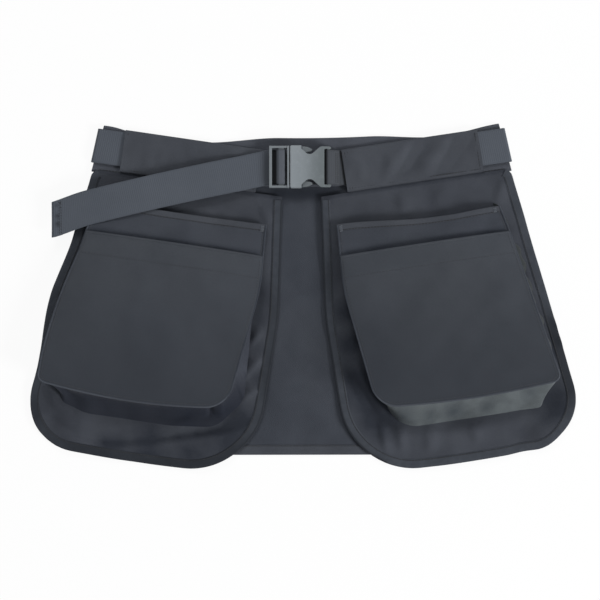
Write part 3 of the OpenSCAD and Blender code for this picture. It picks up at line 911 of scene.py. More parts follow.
# %% Flap panels
# Patches of painted shade on the flaps: beside and under the pockets and near their corners.
FLAP_SHADE = {
    RIGHT: [(53, -20, 22, 1.2), (60, -59, 26, 1.2), (70, -106, 36, 1.6), (92, -142, 36, 1.6),
            (294, -128, 38, 1.5), (294, -65, 20, 1.5)],
    LEFT: [(-224, -182, 26, 1.2), (-177, -187, 28, 1.2), (-130, -185, 30, 1.2), (-88, -171, 30, 1.2),
           (-70, -146, 26, 1.2), (-177, -158, 24, 0.8), (-46, 2, 20, 0.6), (-48, -30, 18, 0.5),
           (-49, -60, 16, 0.4), (-52, -96, 16, 0.5)],
}
# A painted shadow line just below the left flap's long crease.
FLAP_SHADE[LEFT] += [(x, y - 2, 7, 0.35) for x, y in walk(LEFT_CREASE[2:], 5)]


def flap_cut(s, t):
    v = rows_down(t, FLAP_LENGTH, FLAP_CORNER)
    return np.stack([along_row(FLAP_SIDES, v, s), v], -1)


flaps = {}
for side in (RIGHT, LEFT):
    flaps[side] = cloth_panel("flap_cloth_" + NAMES[side], side, 110, 124,
                              lambda s, t: draped(side, *flap_cut(s, t).T), flap_cut)
    # A painted shadow line on the flap under the sleeve's lower edge.
    under_sleeve_shadow = on_flap(side, np.arange(-28, 190, 2.5), -1.2)
    mark_darkening(flaps[side], FLAP_SHADE[side] + marks_along(under_sleeve_shadow, 3.2, 0.6))
    finish_piece(flaps[side], flap_twill, FLAP_BODY[side], [NAMES[side] + "_flap_panel"])
    print(flaps[side].name, len(flaps[side].data.polygons), "faces")

# %% [markdown]
# Tapes, hems, rolled edges and sleeves are all a closed cross-section carried along a line. A bevelled
# curve could do that, but it knows nothing of the belt's frames. So a grid is rolled up into a tube: its
# rows become rings, its side edges meet and are merged, and its ends are filled.

# %% A tube from rings
def tube(name, rings, closed=True):
    """rings: points in millimetres, by step along the line and by point round the section."""
    steps, around = rings.shape[:2]
    piece, s, t = add_grid(name, around, steps - 1)
    i, j = np.rint(s * around).astype(int), np.rint(t * (steps - 1)).astype(int)
    run = run_of(rings.mean(1))
    ring = np.concatenate([rings, rings[:, :1]], 1)
    girth = np.cumsum(np.linalg.norm(np.diff(ring, axis=1), axis=2), axis=1)
    girth = np.concatenate([np.zeros((steps, 1)), girth], 1)
    set_shape(piece, rings[j, i % around], np.stack([run[j], girth[j, i]], -1))
    select_only(piece)
    bpy.ops.object.mode_set(mode="EDIT")
    bpy.ops.mesh.select_all(action="SELECT")
    bpy.ops.mesh.remove_doubles(threshold=1e-6)
    if closed:
        bpy.ops.mesh.select_all(action="SELECT")
        bpy.ops.mesh.fill_holes(sides=0)
    bpy.ops.mesh.select_all(action="SELECT")
    bpy.ops.mesh.normals_make_consistent(inside=False)
    bpy.ops.object.mode_set(mode="OBJECT")
    return piece


def flat_section(inside, outside, thick, points=18, thin=1.0):
    """A flattened oval: (reach inwards, height) pairs; thin narrows its inner edge."""
    angle = np.linspace(0, TURN, points, endpoint=False)
    wide, high = np.cos(angle), np.sin(angle)
    d = (inside - outside) / 2 + np.sign(wide) * np.abs(wide) ** 0.35 * (inside + outside) / 2
    h = np.sign(high) * np.abs(high) ** 0.6 * thick / 2
    return np.stack([d, h * np.where(d > 0, 1 - (1 - thin) * np.clip(d / inside, 0, 1), 1)], -1)


def edging(name, path, section, place, uneven, seed):
    """A section carried along a flat walk; place turns (u, v, height) into CAD-frame points."""
    left = leftwards(path)
    dice = np.random.default_rng(seed)
    wobble = 1 + uneven * np.convolve(dice.normal(0, 1, len(path)), np.ones(5) / 5, "same")
    u = path[:, None, 0] + section[None, :, 0] * left[:, None, 0]
    v = path[:, None, 1] + section[None, :, 0] * left[:, None, 1]
    return tube(name, place(u, v, section[None, :, 1] * wobble[:, None]))


print("tube tools ready: a plain section has", len(flat_section(2.0, 1.0, 1.0)), "points")

# %% [markdown]
# The binding is a folded tape that grips the flap's raw edge, ten millimetres wide, and runs from the seam
# round the foot to the other side. A Solidify rim would be even all along, so the tape is a tube with a few
# soft swellings. Its rim beside the rear panel is painted darkest, a painted shadow where the flap stands
# over the panel, and patches of painted shade darken its outer side on the right and its foot and inner
# side on the left.

# %% Flap binding
TAPE_INSIDE, TAPE_OUTSIDE, TAPE_THICK = 10.0, 0.9, 2.6
LEFT_FOOT = [(-306, -140), (-265, -180), (-224, -192), (-177, -198), (-130, -198), (-85, -182)]
LEFT_INNER = [(-35, -20), (-37, -65), (-42, -105)]
# Patches of painted shade on the bindings: the right one's outer side, the left one's foot and inner side.
BINDING_SHADE = {
    RIGHT: [(300, -60, 60, 1.3), (312, -110, 40, 1.0)],
    LEFT: [(x, y, 45, 1.0) for x, y in LEFT_FOOT] + [(x, y, 40, 0.5) for x, y in LEFT_INNER],
}
BINDING_WALK = walk(FLAP_EDGE, 4.0)
BINDING_WALK = BINDING_WALK[BINDING_WALK[:, 1] < -0.6]
RIM_DEPTHS = -np.arange(4.0, 318, 2)
bindings = {}
for side in (RIGHT, LEFT):
    section = flat_section(TAPE_INSIDE, TAPE_OUTSIDE, TAPE_THICK, 40, 0.75)
    bindings[side] = edging("flap_binding_" + NAMES[side], BINDING_WALK, section,
                            lambda u, v, h: draped(side, u, v, h), 0.10, 5 + side)
    # A painted shadow line along the rim beside the rear panel.
    rim_shadow = on_flap(side, reach(FLAP_SIDES[0], RIM_DEPTHS) - TAPE_OUTSIDE, RIM_DEPTHS)
    mark_darkening(bindings[side], BINDING_SHADE[side] + marks_along(rim_shadow, 2.8, 2.2), SIDEWAYS)
    finish_piece(bindings[side], dark_tape, FLAP_BODY[side], [NAMES[side] + "_binding"])
    print(bindings[side].name, len(bindings[side].data.polygons), "faces")

# %% [markdown]
# A bellows pocket stands on a gusset: a strip sewn to the flap round three sides and to the edge of the
# pocket's front. The right one is filled out and painted pale at its foot, as painted light, and pleated
# along its outer side. The left one has slumped: its foot is folded inwards in a crumpled tuck, painted dark
# as shade, and its inner side has spread over the flap. A simulation would fold it at random, so each
# cross-section is a smooth curve whose two middle handles are pulled in where it folds.

# %% Lines of the gussets
def corner_shares(path):
    """Shares of the way at which a pocket's outline turns its two lower corners."""
    run = run_of(path)
    inner, outer = np.argmin(path.sum(1)), np.argmax(path[:, 0] - path[:, 1])
    return [0.0, run[inner] / run[-1], run[outer] / run[-1], 1.0]


GUSSET_RUN, GUSSET_DEPTH, WAY_STEPS = 640, 36, 400
SEAM_EDGE = {
    RIGHT: rounded([(-13, -1), (-15, -77.76), (14, -244), (189, -244), (166, -1)], [0, 220, 34, 6, 0]),
    LEFT: rounded([(-13, -1), (-16, -95), (-22, -205), (6, -241), (60, -246), (160, -246), (194, -236),
                   (166, -1)], [0, 200, 30, 30, 90, 60, 12, 0]),
}
TURNS = corner_shares(POCKET_EDGE)


def gusset_lines(side, s):
    """The gusset's foot on the flap, its top at the pocket and the way inwards, by share of its run."""
    foot = by_share(SEAM_EDGE[side], np.interp(s, TURNS, corner_shares(SEAM_EDGE[side])))
    top = by_share(POCKET_EDGE, s)
    low = draped(side, foot[:, 0], MOUTH_V + foot[:, 1], HALF_CLOTH)
    high = on_pocket(side, top[:, 0], top[:, 1], 0.3)
    ways = leftwards(by_share(POCKET_EDGE, np.linspace(0, 1, WAY_STEPS)))
    inward = ways[np.rint(s * (WAY_STEPS - 1)).astype(int)]
    return low, high, on_belt(side, inward[:, 0], inward[:, 1], 0.0) - on_belt(side, 0.0, 0.0, 0.0)


print("the gusset turns its corners at", [round(float(share), 2) for share in TURNS[1:3]], "of its run")

# %% [markdown]
# How the strip folds changes along its run, so its pull is a blend of three parts: the inner side, the foot
# and the outer side. On the right only the outer side is pleated, by random ripples. On the left the foot
# is pulled far in, with a tuck and a bulge at its inner corner. Shape keys could blend such states too, but
# a formula keeps the strip smooth from part to part.

# %% Folds of the gussets
def gusset_pull(side, s):
    """How far the strip is pulled in near its foot and its top, how it crumples, and how far it leans in."""
    at_foot = ease(s, TURNS[1] - 0.05, TURNS[1] + 0.03) * (1 - ease(s, TURNS[2] - 0.02, TURNS[2] + 0.02))
    outer = ease(s, TURNS[2], TURNS[2] + 0.05)
    inner = 1 - at_foot - outer
    if side == RIGHT:
        pleats = ripples(s * GUSSET_RUN, 0 * s, 26, 17)
        free = outer * (1 - ease(s, 0.93, 1.0))
        low_pull = 6.0 * inner + 0.5 * at_foot - (15 + 11 * pleats) * free
        high_pull = 5.0 * inner + 1.0 * at_foot - (9 + 9 * pleats) * free
        return low_pull, high_pull, 1.1, 0 * s
    corner_tuck = 12 * np.exp(-((s - TURNS[1] - 0.02) / 0.010) ** 2)
    corner_bulge = 7 * np.exp(-((s - TURNS[1] + 0.004) / 0.008) ** 2)
    low_pull = 2.0 * inner + 24.0 * at_foot + 6.0 * outer + corner_tuck - corner_bulge
    high_pull = 1.0 * inner + 9.0 * at_foot + 5.0 * outer
    return low_pull, high_pull, 2.0 + 0.8 * at_foot, at_foot


print("the left foot is pulled in by", round(float(gusset_pull(LEFT, np.array([0.5]))[0][0])), "mm")

# %% [markdown]
# With its lines and pulls known, the gusset is a panel like the flap. It must not sink into the flap that
# it lies on. A Shrinkwrap modifier could lift it, but that would flatten its pleats, so only points that
# are too low are raised on to the flap's own folds. The right gusset's twill is a lit copy, painted paler
# as light, and the left one's is a shaded copy, painted darker as shade; patches of painted shade lie on
# both.

# %% Pocket gussets
UP = np.array([0, 0, 1.0])
# Patches of painted shade on the gussets: in the right one's dents and the left one's tuck.
GUSSET_SHADE = {
    RIGHT: [(112, -142, 26, 1.0), (148, -140, 15, 0.6), (175, -137, 20, 0.9), (214, -130, 13, 0.6),
            (262, -114, 13, 0.6)],
    LEFT: [(-131, -139, 42, 1.0), (-80, -140, 30, 1.0), (-94, -133, 9, 1.0)],
}
GUSSET_TWILL = {RIGHT: lit_gusset_twill, LEFT: shaded_gusset_twill}


def gusset_place(side, s, t):
    low, high, inward = gusset_lines(side, s)
    low_pull, high_pull, crumple, lean = gusset_pull(side, s)
    k, lean, arm = t[:, None], lean[:, None], (high - low) / 3
    near = low + arm * (1 - lean) + inward * low_pull[:, None] + UP * lean
    far = high - arm * (1 - 0.3 * lean) + inward * high_pull[:, None]
    points = low * (1 - k) ** 3 + near * 3 * k * (1 - k) ** 2 + far * 3 * k ** 2 * (1 - k) + high * k ** 3
    wave = crumple * ripples(s * GUSSET_RUN, t * 34, 40, 21 + side) * np.sin(math.pi * t)
    points = points + (inward * 0.6 + UP * 0.8) * wave[:, None]
    ground = FLAP_Z + flap_rise(side, points) + 0.5 + 0.4 * ease(t, 0, 0.1)
    points[:, 2] = np.where(t > 0.02, np.maximum(points[:, 2], ground), points[:, 2])
    return points


gussets = {}
for side in (RIGHT, LEFT):
    gussets[side] = cloth_panel("pocket_gusset_" + NAMES[side], -side, 330, 22,
                                lambda s, t: gusset_place(side, s, t),
                                lambda s, t: np.stack([s * GUSSET_RUN, t * GUSSET_DEPTH], -1))
    mark_darkening(gussets[side], GUSSET_SHADE[side], ALL_ROUND)
    finish_piece(gussets[side], GUSSET_TWILL[side], FLAP_BODY[side], [NAMES[side] + "_gusset"])
    print(gussets[side].name, len(gussets[side].data.polygons), "faces")

# %% [markdown]
# The pocket's front is a panel of the same twill that bellies out a little, and on it lies the outer
# pocket: a second layer sewn in at the sides and foot, whose mouth gapes by a few millimetres and whose hem
# shows as a slight step. Two layers could be pressed apart by a collision, but shared height functions keep
# them clear of each other by design.

# %% Heights of the pocket's two layers
PATCH_TOP, PATCH_HEM = -37.0, 25.5


def across_pocket(a, b):
    """The share of the way from a pocket's inner to its outer side."""
    inner, outer = reach(POCKET_SIDES[0], b), reach(POCKET_SIDES[1], b)
    return np.clip((a - inner) / (outer - inner), 0, 1)


def belly(a, b):
    """How far a pocket's front panel bellies out between its edges."""
    down = np.clip(-b / POCKET_LENGTH, 0, 1)
    return 3.2 * np.sin(math.pi * across_pocket(a, b)) ** 0.7 * np.sin(math.pi * (0.12 + 0.88 * down)) ** 0.8


def slack(side, a, b):
    """Soft dents that the front panel and the outer pocket share, calm at their seams and above the patch."""
    dents = 1.7 * ripples(a, b, 105, 41 + side) + 0.5 * ripples(a, b, 42, 42 + side)
    middle = np.sin(math.pi * across_pocket(a, b)) ** 0.5
    return middle * dents * ease(b, -POCKET_LENGTH, -190) * ease(-b, 36, 60)


def on_front(side, a, b, height=0.0):
    """CAD-frame points over the middle of the front panel's cloth; its mouth waves a little."""
    wave = 0.8 * ripples(a, b, 60, 31 + side) * ease(b, -45, -10) * ease(a, -18, 10) * ease(-a, -172, -144)
    return on_pocket(side, a, b, HALF_CLOTH + belly(a, b) + wave + slack(side, a, b) + height)


def on_patch(side, a, b, height=0.0):
    """CAD-frame points over the middle of the outer pocket's cloth: its mouth gapes, its hem is a step."""
    gape = 3.2 * np.sin(math.pi * across_pocket(a, b)) ** 0.6 * np.exp(-((PATCH_TOP - b) / 70) ** 2)
    hem = 0.5 * ease(b, PATCH_TOP - PATCH_HEM - 1.5, PATCH_TOP - PATCH_HEM + 1.5)
    return on_pocket(side, a, b, 3 * HALF_CLOTH + belly(a, b) + gape + hem + slack(side, a, b) + height)


print("a pocket bellies out by", round(float(belly(90.0, -100.0)), 1), "mm")

# %% [markdown]
# Both layers are panels again. The outer pocket could be part of the front's own mesh, but as a panel by
# itself it has a real mouth. The front is painted darker in a soft line along that mouth, a painted shadow,
# and the outer pocket is a little darker in a few soft patches.

# %% Pocket fronts and outer pockets
MOUTH_ENDS = [(reach(POCKET_SIDES[0], PATCH_TOP) + 6, PATCH_TOP + 2),
              (reach(POCKET_SIDES[1], PATCH_TOP) - 6, PATCH_TOP + 2)]
PATCH_DARK_SPOTS = {RIGHT: [(84, -45, 40, 0.3), (92, -85, 36, 0.2)], LEFT: [(-177, -42, 55, 0.2)]}


def front_cut(s, t):
    b = rows_down(t, POCKET_LENGTH, POCKET_CORNER)
    return np.stack([along_row(POCKET_SIDES, b, s), b], -1)


def patch_cut(s, t):
    b = PATCH_TOP + rows_down(t, POCKET_LENGTH + PATCH_TOP - 1, POCKET_CORNER - 1)
    return np.stack([along_row(POCKET_SIDES, b, s, 0.6), b], -1)


fronts, patches = {}, {}
for side in (RIGHT, LEFT):
    name = NAMES[side]
    fronts[side] = cloth_panel("pocket_front_" + name, side, 80, 90,
                               lambda s, t: on_front(side, *front_cut(s, t).T), front_cut)
    # A painted shadow line on the front along the outer pocket's mouth.
    mark_darkening(fronts[side], marks_along(on_pocket(side, *walk(MOUTH_ENDS, 4).T), 7, 0.42))
    finish_piece(fronts[side], slate_twill, FLAP_BODY[side], [name + "_pocket_front"])
    patches[side] = cloth_panel("outer_pocket_" + name, side, 84, 84,
                                lambda s, t: on_patch(side, *patch_cut(s, t).T), patch_cut)
    mark_darkening(patches[side], PATCH_DARK_SPOTS[side])
    finish_piece(patches[side], pocket_twill, FLAP_BODY[side], [name + "_outer_pocket"])
    print(name, "pocket front and outer pocket made")

# %% [markdown]
# Where front and gusset meet, the seam allowance is turned and topstitched, which leaves a firm rolled edge
# round the pocket. The mouth is hemmed: a doubled band seven and a half millimetres deep. The outer
# pocket's mouth is folded too. A bevel on the panels would give no thickness to see, so all three are slim
# tubes laid on the edges.

# %% Rolled edges and hems of the pockets
EDGE_STEP = 3.0
ROLL_DEPTHS = -np.arange(2.0, 206, 4)
ROLL_SHADE = (0.45, 0.25)
MOUTH_LINE = walk([(172.6, 0), (-18.6, 0)], EDGE_STEP)
FOLD_LINE = walk([(reach(POCKET_SIDES[1], PATCH_TOP) - 0.4, PATCH_TOP),
                  (reach(POCKET_SIDES[0], PATCH_TOP) + 0.4, PATCH_TOP)], EDGE_STEP)
rolls, hems, folds = {}, {}, {}
for side in (RIGHT, LEFT):
    name = NAMES[side]
    rolls[side] = edging("pocket_edge_roll_" + name, walk(POCKET_EDGE, EDGE_STEP),
                         flat_section(1.2, 0.8, 2.0, 10),
                         lambda u, v, h: on_pocket(side, u, v, 0.9 + h), 0.12, 3)
    hems[side] = edging("pocket_mouth_hem_" + name, MOUTH_LINE, flat_section(7.5, 0.8, 2.0, 18, 0.8),
                        lambda u, v, h: on_front(side, u, v, h), 0.05, 4)
    folds[side] = edging("outer_pocket_fold_" + name, FOLD_LINE, flat_section(2.4, 0.5, 1.7, 12),
                         lambda u, v, h: on_patch(side, u, v, h), 0.05, 6)
    # Painted shade along the rolled edges, darker on the inner side, where shadow lines fall.
    marks = []
    for edge, deep in zip(POCKET_SIDES, ROLL_SHADE):
        marks += marks_along(on_pocket(side, reach(edge, ROLL_DEPTHS), ROLL_DEPTHS), 6.0, deep)
    mark_darkening(rolls[side], marks, SIDEWAYS)
    finish_piece(rolls[side], edge_highlight_twill, FLAP_BODY[side])
    finish_piece(hems[side], sleeve_twill, FLAP_BODY[side])
    finish_piece(folds[side], pocket_twill, FLAP_BODY[side])
    print(name, "pocket edges made")

# %% [markdown]
# A sleeve is cloth folded into a flat tube round the webbing. It could be two panels sewn together, but a
# tube rolled from one grid has no seam to hide. Its section is two flat faces and two tight bends, with
# more points at the bends so that they stay round.

# %% A sleeve's section
SLEEVE_THICK, SLEEVE_WALL = 3.8, 0.7


def flat_ring(half, thick, points=22):
    """A flattened tube's section: (height across, place through) pairs, closely spaced at the folds."""
    bend = np.linspace(-math.pi / 2, math.pi / 2, 7)
    flat = np.linspace(1, -1, points)[1:-1]
    r = thick / 2
    top = np.stack([flat * (half - r), np.full(len(flat), r)], -1)
    low = np.stack([-flat * (half - r), np.full(len(flat), -r)], -1)
    right = np.stack([half - r + r * np.cos(bend), r * np.sin(bend)], -1)
    left = np.stack([-(half - r) - r * np.cos(bend), -r * np.sin(bend)], -1)
    return np.concatenate([right, top, left, low])


def upper_face(ring, half):
    """1 on the middle of a sleeve's upper face, falling to 0 at its folds and below."""
    return (ring[:, 1] > 0) * (1 - np.abs(ring[:, 0] / half) ** 6)


print("a sleeve's section is", SLEEVE_THICK, "mm thick, of cloth", SLEEVE_WALL, "mm thick")

# %% [markdown]
# The front pair stop short of the buckle, where their ends stay open, and diagonal folds cross them, mostly
# the right one. Such folds could be combed in with a sculpting brush; as lines with a height they stay easy
# to move. Only the upper face carries them, because the lower one lies on the belt.

# %% Front sleeves
SLEEVE_LENGTH, SLEEVE_HALF, SLEEVE_Z = 160, 25.0, 6.0
SLEEVE_FOLDS = {
    RIGHT: [
        ([(143, 182), (110, 136)], -1.5, 9, 8),
        ([(198, 195), (154, 136)], -1.6, 10, 9),
        ([(124, 179), (93, 132)], 1.1, 8, 8),
        ([(172, 187), (133, 132)], 1.2, 9, 9),
        ([(60, 168), (72, 128)], 0.6, 8, 8),
    ],
    LEFT: [
        ([(-96, 176), (-60, 158)], 0.8, 8, 8),
        ([(-150, 178), (-110, 138)], -0.6, 14, 12),
    ],
}
sleeves = {}
for side in (RIGHT, LEFT):
    ring = flat_ring(SLEEVE_HALF, SLEEVE_THICK)
    u = np.linspace(0, SLEEVE_LENGTH, 81)[:, None]
    points = on_belt(side, u, ring[None, :, 0], SLEEVE_Z + ring[None, :, 1])
    x, y = points[..., 0], points[..., 1]
    rise = 0.35 + 0.3 * ripples(x, y, 70, 51 + side) + 0.15 * ripples(x, y, 24, 54)
    for one in SLEEVE_FOLDS[side]:
        rise = rise + fold(x, y, *one)
    points[..., 2] += np.clip(2.1 * rise, -0.6, 4.0) * upper_face(ring, SLEEVE_HALF)
    sleeves[side] = tube("belt_sleeve_" + NAMES[side], points, closed=False)
    thicken(sleeves[side], SLEEVE_WALL, -1.0)
    finish_piece(sleeves[side], sleeve_twill, SLEEVE_BODY[side], [NAMES[side] + "_sleeve"])
print("two front sleeves made,", SLEEVE_LENGTH, "mm long")

# %% [markdown]
# The rear sleeve is the same kind of tube along the curve of the back. A straight tube could be bent by a
# Curve modifier, but its ends slant a little and its upper edge sinks beside the buckle, so each ring is
# placed on the arc straight away. Only the part that shows between the front sleeves is rippled.

# %% Rear sleeve
REAR_HALF, REAR_END = 28.5, 238.8
ring = flat_ring(REAR_HALF, SLEEVE_THICK)
run = np.linspace(-REAR_END, REAR_END, 141)[:, None]
height = ring[None, :, 0] - rear_dip(run) * ease(ring[None, :, 0], -8, REAR_HALF)
slant = 0.12 * ring[None, :, 0] * np.sign(run) * ease(np.abs(run), 190, 238)
points = on_rear(run - slant, height, SLEEVE_THICK / 2 + ring[None, :, 1])
x, y = points[..., 0], points[..., 1]
rise = 0.5 * ripples(x * 0.5, y * 2, 30, 61)
for line in ([(-8, 180), (56, 175)], [(-80, 181), (-42, 175)]):
    rise = rise + fold(x, y, line, 0.9, 4)
shows = ease(120 - np.abs(x), 0, 40)
points[..., 2] += np.clip(rise, -0.2, 1.2) * upper_face(ring, REAR_HALF) * shows
rear_sleeve = tube("belt_sleeve_rear", points, closed=False)
thicken(rear_sleeve, SLEEVE_WALL, -1.0)
finish_piece(rear_sleeve, rear_twill, "waist", ["rear_sleeve"])
print("rear sleeve made,", round(2 * REAR_END), "mm long")

# %% [markdown]
# The flap is sewn to the sleeve's lower fold, and that seam is what it swings on. A narrow strip of cloth
# closes the seam.

# %% Seam strips
STRIP_LENGTH, STRIP_WIDTH, STRIP_THICK, STRIP_TOP = 158, 5.2, 0.6, -23.6
STRIP_BEND = (-25.1, -26.7)


def strip_cut(s, t):
    return np.stack([STRIP_LENGTH * s, -STRIP_WIDTH * t], -1)


def strip_place(side, s, t):
    return on_belt(side, 1 + STRIP_LENGTH * s, STRIP_TOP - STRIP_WIDTH * t, FLAP_Z)


seams = {}
for side in (RIGHT, LEFT):
    seams[side] = cloth_panel("flap_seam_" + NAMES[side], side, 60, 12,
                              lambda s, t: strip_place(side, s, t), strip_cut, STRIP_THICK)
    finish_piece(seams[side], slate_twill, None)
    start, end = (tuple(on_belt(side, 80, v, FLAP_Z) * MM) for v in STRIP_BEND)
    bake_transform(seams[side])

# %% [markdown]
# The rear panel covers the wearer's back. It lies flat on the ground under the flaps and shows only between
# them, below the buckle, so only that part has ripples. Its foot is turned up and stitched, which could be
# a second layer of the panel. It is a doubled band here, made as a flat tube like those on the pockets,
# because a tube keeps the soft edge of a fold.

# %% Rear panel and its hem
BACK_TOP, BACK_FOOT, BACK_CORNER = -28.0, -341.5, 60
NEAR_FOOT, HEM_ENDS = -304, -329
BACK_EDGE = rounded([(-214, -8.5), (-222, BACK_FOOT), (222, BACK_FOOT), (214, -8.5)],
                    [0, BACK_CORNER, BACK_CORNER, 0])
BACK_SIDES = split_at_foot(BACK_EDGE)
# A painted shadow on the rear panel just below the buckle.
BUCKLE_SHADOW = [(x, 122.0 - 7 * k, 9.0, 0.34) for k in (0, 1) for x in np.arange(-34, 44 - 20 * k, 5)]


def back_cut(s, t):
    h = BACK_TOP + rows_down(t, BACK_TOP - BACK_FOOT, BACK_CORNER)
    x = along_row(BACK_SIDES, h, s)
    sleeve = REAR_RADIUS - np.sqrt((REAR_RADIUS + REAR_HALF) ** 2 - x ** 2)
    return np.stack([x, h + (sleeve + REAR_HALF) * (1 - t)], -1)


def back_place(s, t):
    x, h = back_cut(s, t).T
    rise = 0.5 + 0.7 * ripples(x, 0.6 * h, 48, 71) + fold(x, h, [(18, -150), (40, -215)], 0.8, 14, 10)
    shows = ease(60 - np.abs(x), 0, 30) * ease(h, -334, NEAR_FOOT) * ease(-h, 34, 60)
    return np.stack([x, REAR_Y + h, HALF_CLOTH + np.clip(rise, 0, 1.2) * shows], -1)


back = cloth_panel("back_cloth", RIGHT, 120, 110, back_place, back_cut)
mark_darkening(back, BUCKLE_SHADOW)
finish_piece(back, slate_twill, "waist", ["back_panel"])
HEM_WALK = walk(BACK_EDGE[BACK_EDGE[:, 1] < NEAR_FOOT], 4.0)
HEM_WALK = HEM_WALK[HEM_WALK[:, 1] < HEM_ENDS]
back_hem = edging("back_hem", HEM_WALK, flat_section(11.6, 0.2, 1.5, 18, 0.9),
                  lambda u, v, h: np.stack([u, REAR_Y + v, 0.82 + h], -1), 0.06, 9)
finish_piece(back_hem, sleeve_twill, "waist")
print("rear panel and hem made")

# %% [markdown]
# Webbing is a strip of even width along a line seen from its edge. Its line is bent round the side folds,
# over the buckle's bars, and back on itself at the tip. A flat strip could be bent by a curve modifier, but
# its width would twist, so each row is placed straight away. The strip is thickened and its long edges are
# rounded with a Bevel.

# %% A strap along a line
WEBBING_THICK, WEBBING_EDGE = 1.5, 0.35


def round_edges(piece, width, segments, sharper_than):
    """Applies a Bevel to the edges that are sharper than an angle in degrees."""
    edges = piece.modifiers.new("edges", "BEVEL")
    edges.width, edges.segments = width * MM, segments
    edges.limit_method, edges.angle_limit = "ANGLE", math.radians(sharper_than)
    bpy.ops.object.modifier_apply(modifier=edges.name)


def strap(name, line, place, across=12, step=1.5):
    """line: (run, height) points; place turns (run, width, height) into CAD-frame points."""
    line = walk(line, step)
    piece, s, t = add_grid(name, across, len(line) - 1)
    j = np.rint(t * (len(line) - 1)).astype(int)
    width = (s - 0.5) * 2 * WEBBING_HALF
    set_shape(piece, place(line[j, 0], width, line[j, 1]), np.stack([width, run_of(line)[j]], -1))
    thicken(piece, WEBBING_THICK)
    round_edges(piece, WEBBING_EDGE, 2, 60)
    return piece


def bow(centre, radius, first, last, steps=12):
    """Points of a bend, between two angles in degrees."""
    angle = np.radians(np.linspace(first, last, steps))
    return [(centre[0] + radius * math.cos(a), centre[1] + radius * math.sin(a)) for a in angle]


print("a strap is", 2 * WEBBING_HALF, "mm wide")

# %% [markdown]
# The waist webbing runs through the three sleeves and is folded round at both sides, where it shows. One
# long strap would be nearer to the real belt, but the left front is drawn away when the buckle opens. So
# its stub behind is short, and the rear strap stops before it.

# %% Waist straps
FOLD_MIDDLE, FOLD_RADIUS = (191.19, 3.95), 2.05
for side, shorter in ((RIGHT, 0.0), (LEFT, 70.0)):
    line = [(4, SLEEVE_Z)] + bow(FOLD_MIDDLE, FOLD_RADIUS, 90, -90) + [(190.04 - shorter, SLEEVE_THICK / 2)]
    waist_strap = strap("belt_strap_" + NAMES[side], line,
                        lambda u, w, z: on_belt(side, u - 0.07 * w * ease(u, 150, 186), 2 + w, z))
    finish_piece(waist_strap, slate_webbing, SLEEVE_BODY[side], [NAMES[side] + "_strap"])
rear_strap = strap("belt_strap_rear", [(-119.4, SLEEVE_THICK / 2), (238.5, SLEEVE_THICK / 2)],
                   lambda r, w, z: on_rear(r, w - 0.45 * rear_dip(r), z), step=6)
finish_piece(rear_strap, slate_webbing, "waist", ["rear_strap"])
print("three waist straps made")

# %% [markdown]
# At the buckle the webbing goes round bars: one sewn loop holds the socket, and the strap turns over the
# ladder's middle bar. Both are straps whose line bends round the bars of the CAD buckle. Deep in the slots
# they are nearly black, which painted shade there helps.

# %% Webbing round the buckle's bars
BUCKLE = (-13.0, 147.875, 13.45)
BAR_STEP = 0.8
SLOT_LENGTH = np.arange(127, 169, 2.5)


def on_buckle(x, y, z):
    """CAD-frame points from the buckle's own middle."""
    return np.stack([BUCKLE[0] + x, BUCKLE[1] + y, BUCKLE[2] + z], -1)


loop_line = [(66.0, -7.45), (57.5, -7.45)] + bow((44, 0), 3.2, 252, 72, 16) + [(48, 1.4), (57, -5.2)]
loop = strap("anchor_loop_strap", loop_line, lambda x, w, z: on_buckle(x, w - 0.4, z), step=BAR_STEP)
sleeve_mouth_shadow = on_belt(RIGHT, -1.2, np.arange(-22, 24, 2.5), 0)
# Painted shadow in the socket's bar slot and at the sleeve's mouth.
mark_darkening(loop, [(28.0, y, 2.4, 1.2) for y in SLOT_LENGTH] + marks_along(sleeve_mouth_shadow, 2.6, 1.0))
finish_piece(loop, loop_webbing, "waist", ["anchor_loop"])
ladder_line = ([(-40.6, -7.45), (-32.5, -7.45), (-20.5, -3.7), (-13.5, -3.7)] + bow((-8.5, 0), 2.5, -70, 90)
               + bow((-12.5, 0), 2.5, 90, 174, 8) + [(-16.1, -1.5), (-17.4, -1.9), (-23.6, -1.9)])
ladder = strap("ladder_loop_strap", ladder_line, on_buckle, step=BAR_STEP)
LADDER_SLOT_SHADOWS = ((-34.5, 3.4), (-31.4, 3.4), (-18.4, 2.0))
# Painted shadow in the ladder's slots.
mark_darkening(ladder, [(x, y, radius, 1.2) for x, radius in LADDER_SLOT_SHADOWS for y in SLOT_LENGTH])
finish_piece(ladder, ladder_webbing, "left_front", ["ladder_strap"])
print("two straps round the bars made")

# %% [markdown]
# The loose strap end leaves the buckle's ladder, crosses the left sleeve and lies over the pocket's corner.
# Its tip is turned under and sewn.

# %% Loose strap end
TAIL_TURN = math.radians(192.3)
TAIL_START = (-38.1, 146.875)
TAIL_LENGTH = 257
TAIL_HEIGHTS = np.array([(0.0, 11.55), (10, 11.55), (60, 13.3), (100, 15.0), (134, 16.1), (168, 16.5),
                         (201, 16.2), (230, 14.6), (TAIL_LENGTH, 12.6)])
TAIL_TIP = [(258.0, 12.1), (258.4, 11.4), (258.0, 10.7), (257.0, 10.4), (246.0, 11.2)]
# Darker spots at the strap's turned-under tip.
TAIL_DARKENING = [(-283.3, 91.3, 4.0, 0.8), (-282.8, 82.0, 4.5, 0.9), (-284.3, 104.0, 3.0, 0.5)]
# Painted shade along the strap where it leaves the buckle.
TAIL_DARKENING += [(-40.0, y, 13, 0.16) for y in np.arange(128, 168, 5)]
BEND_START, BEND_END = (tuple(on_belt(LEFT, 150, SEAM_V + off, 6.0) * MM) for off in (14, -14))


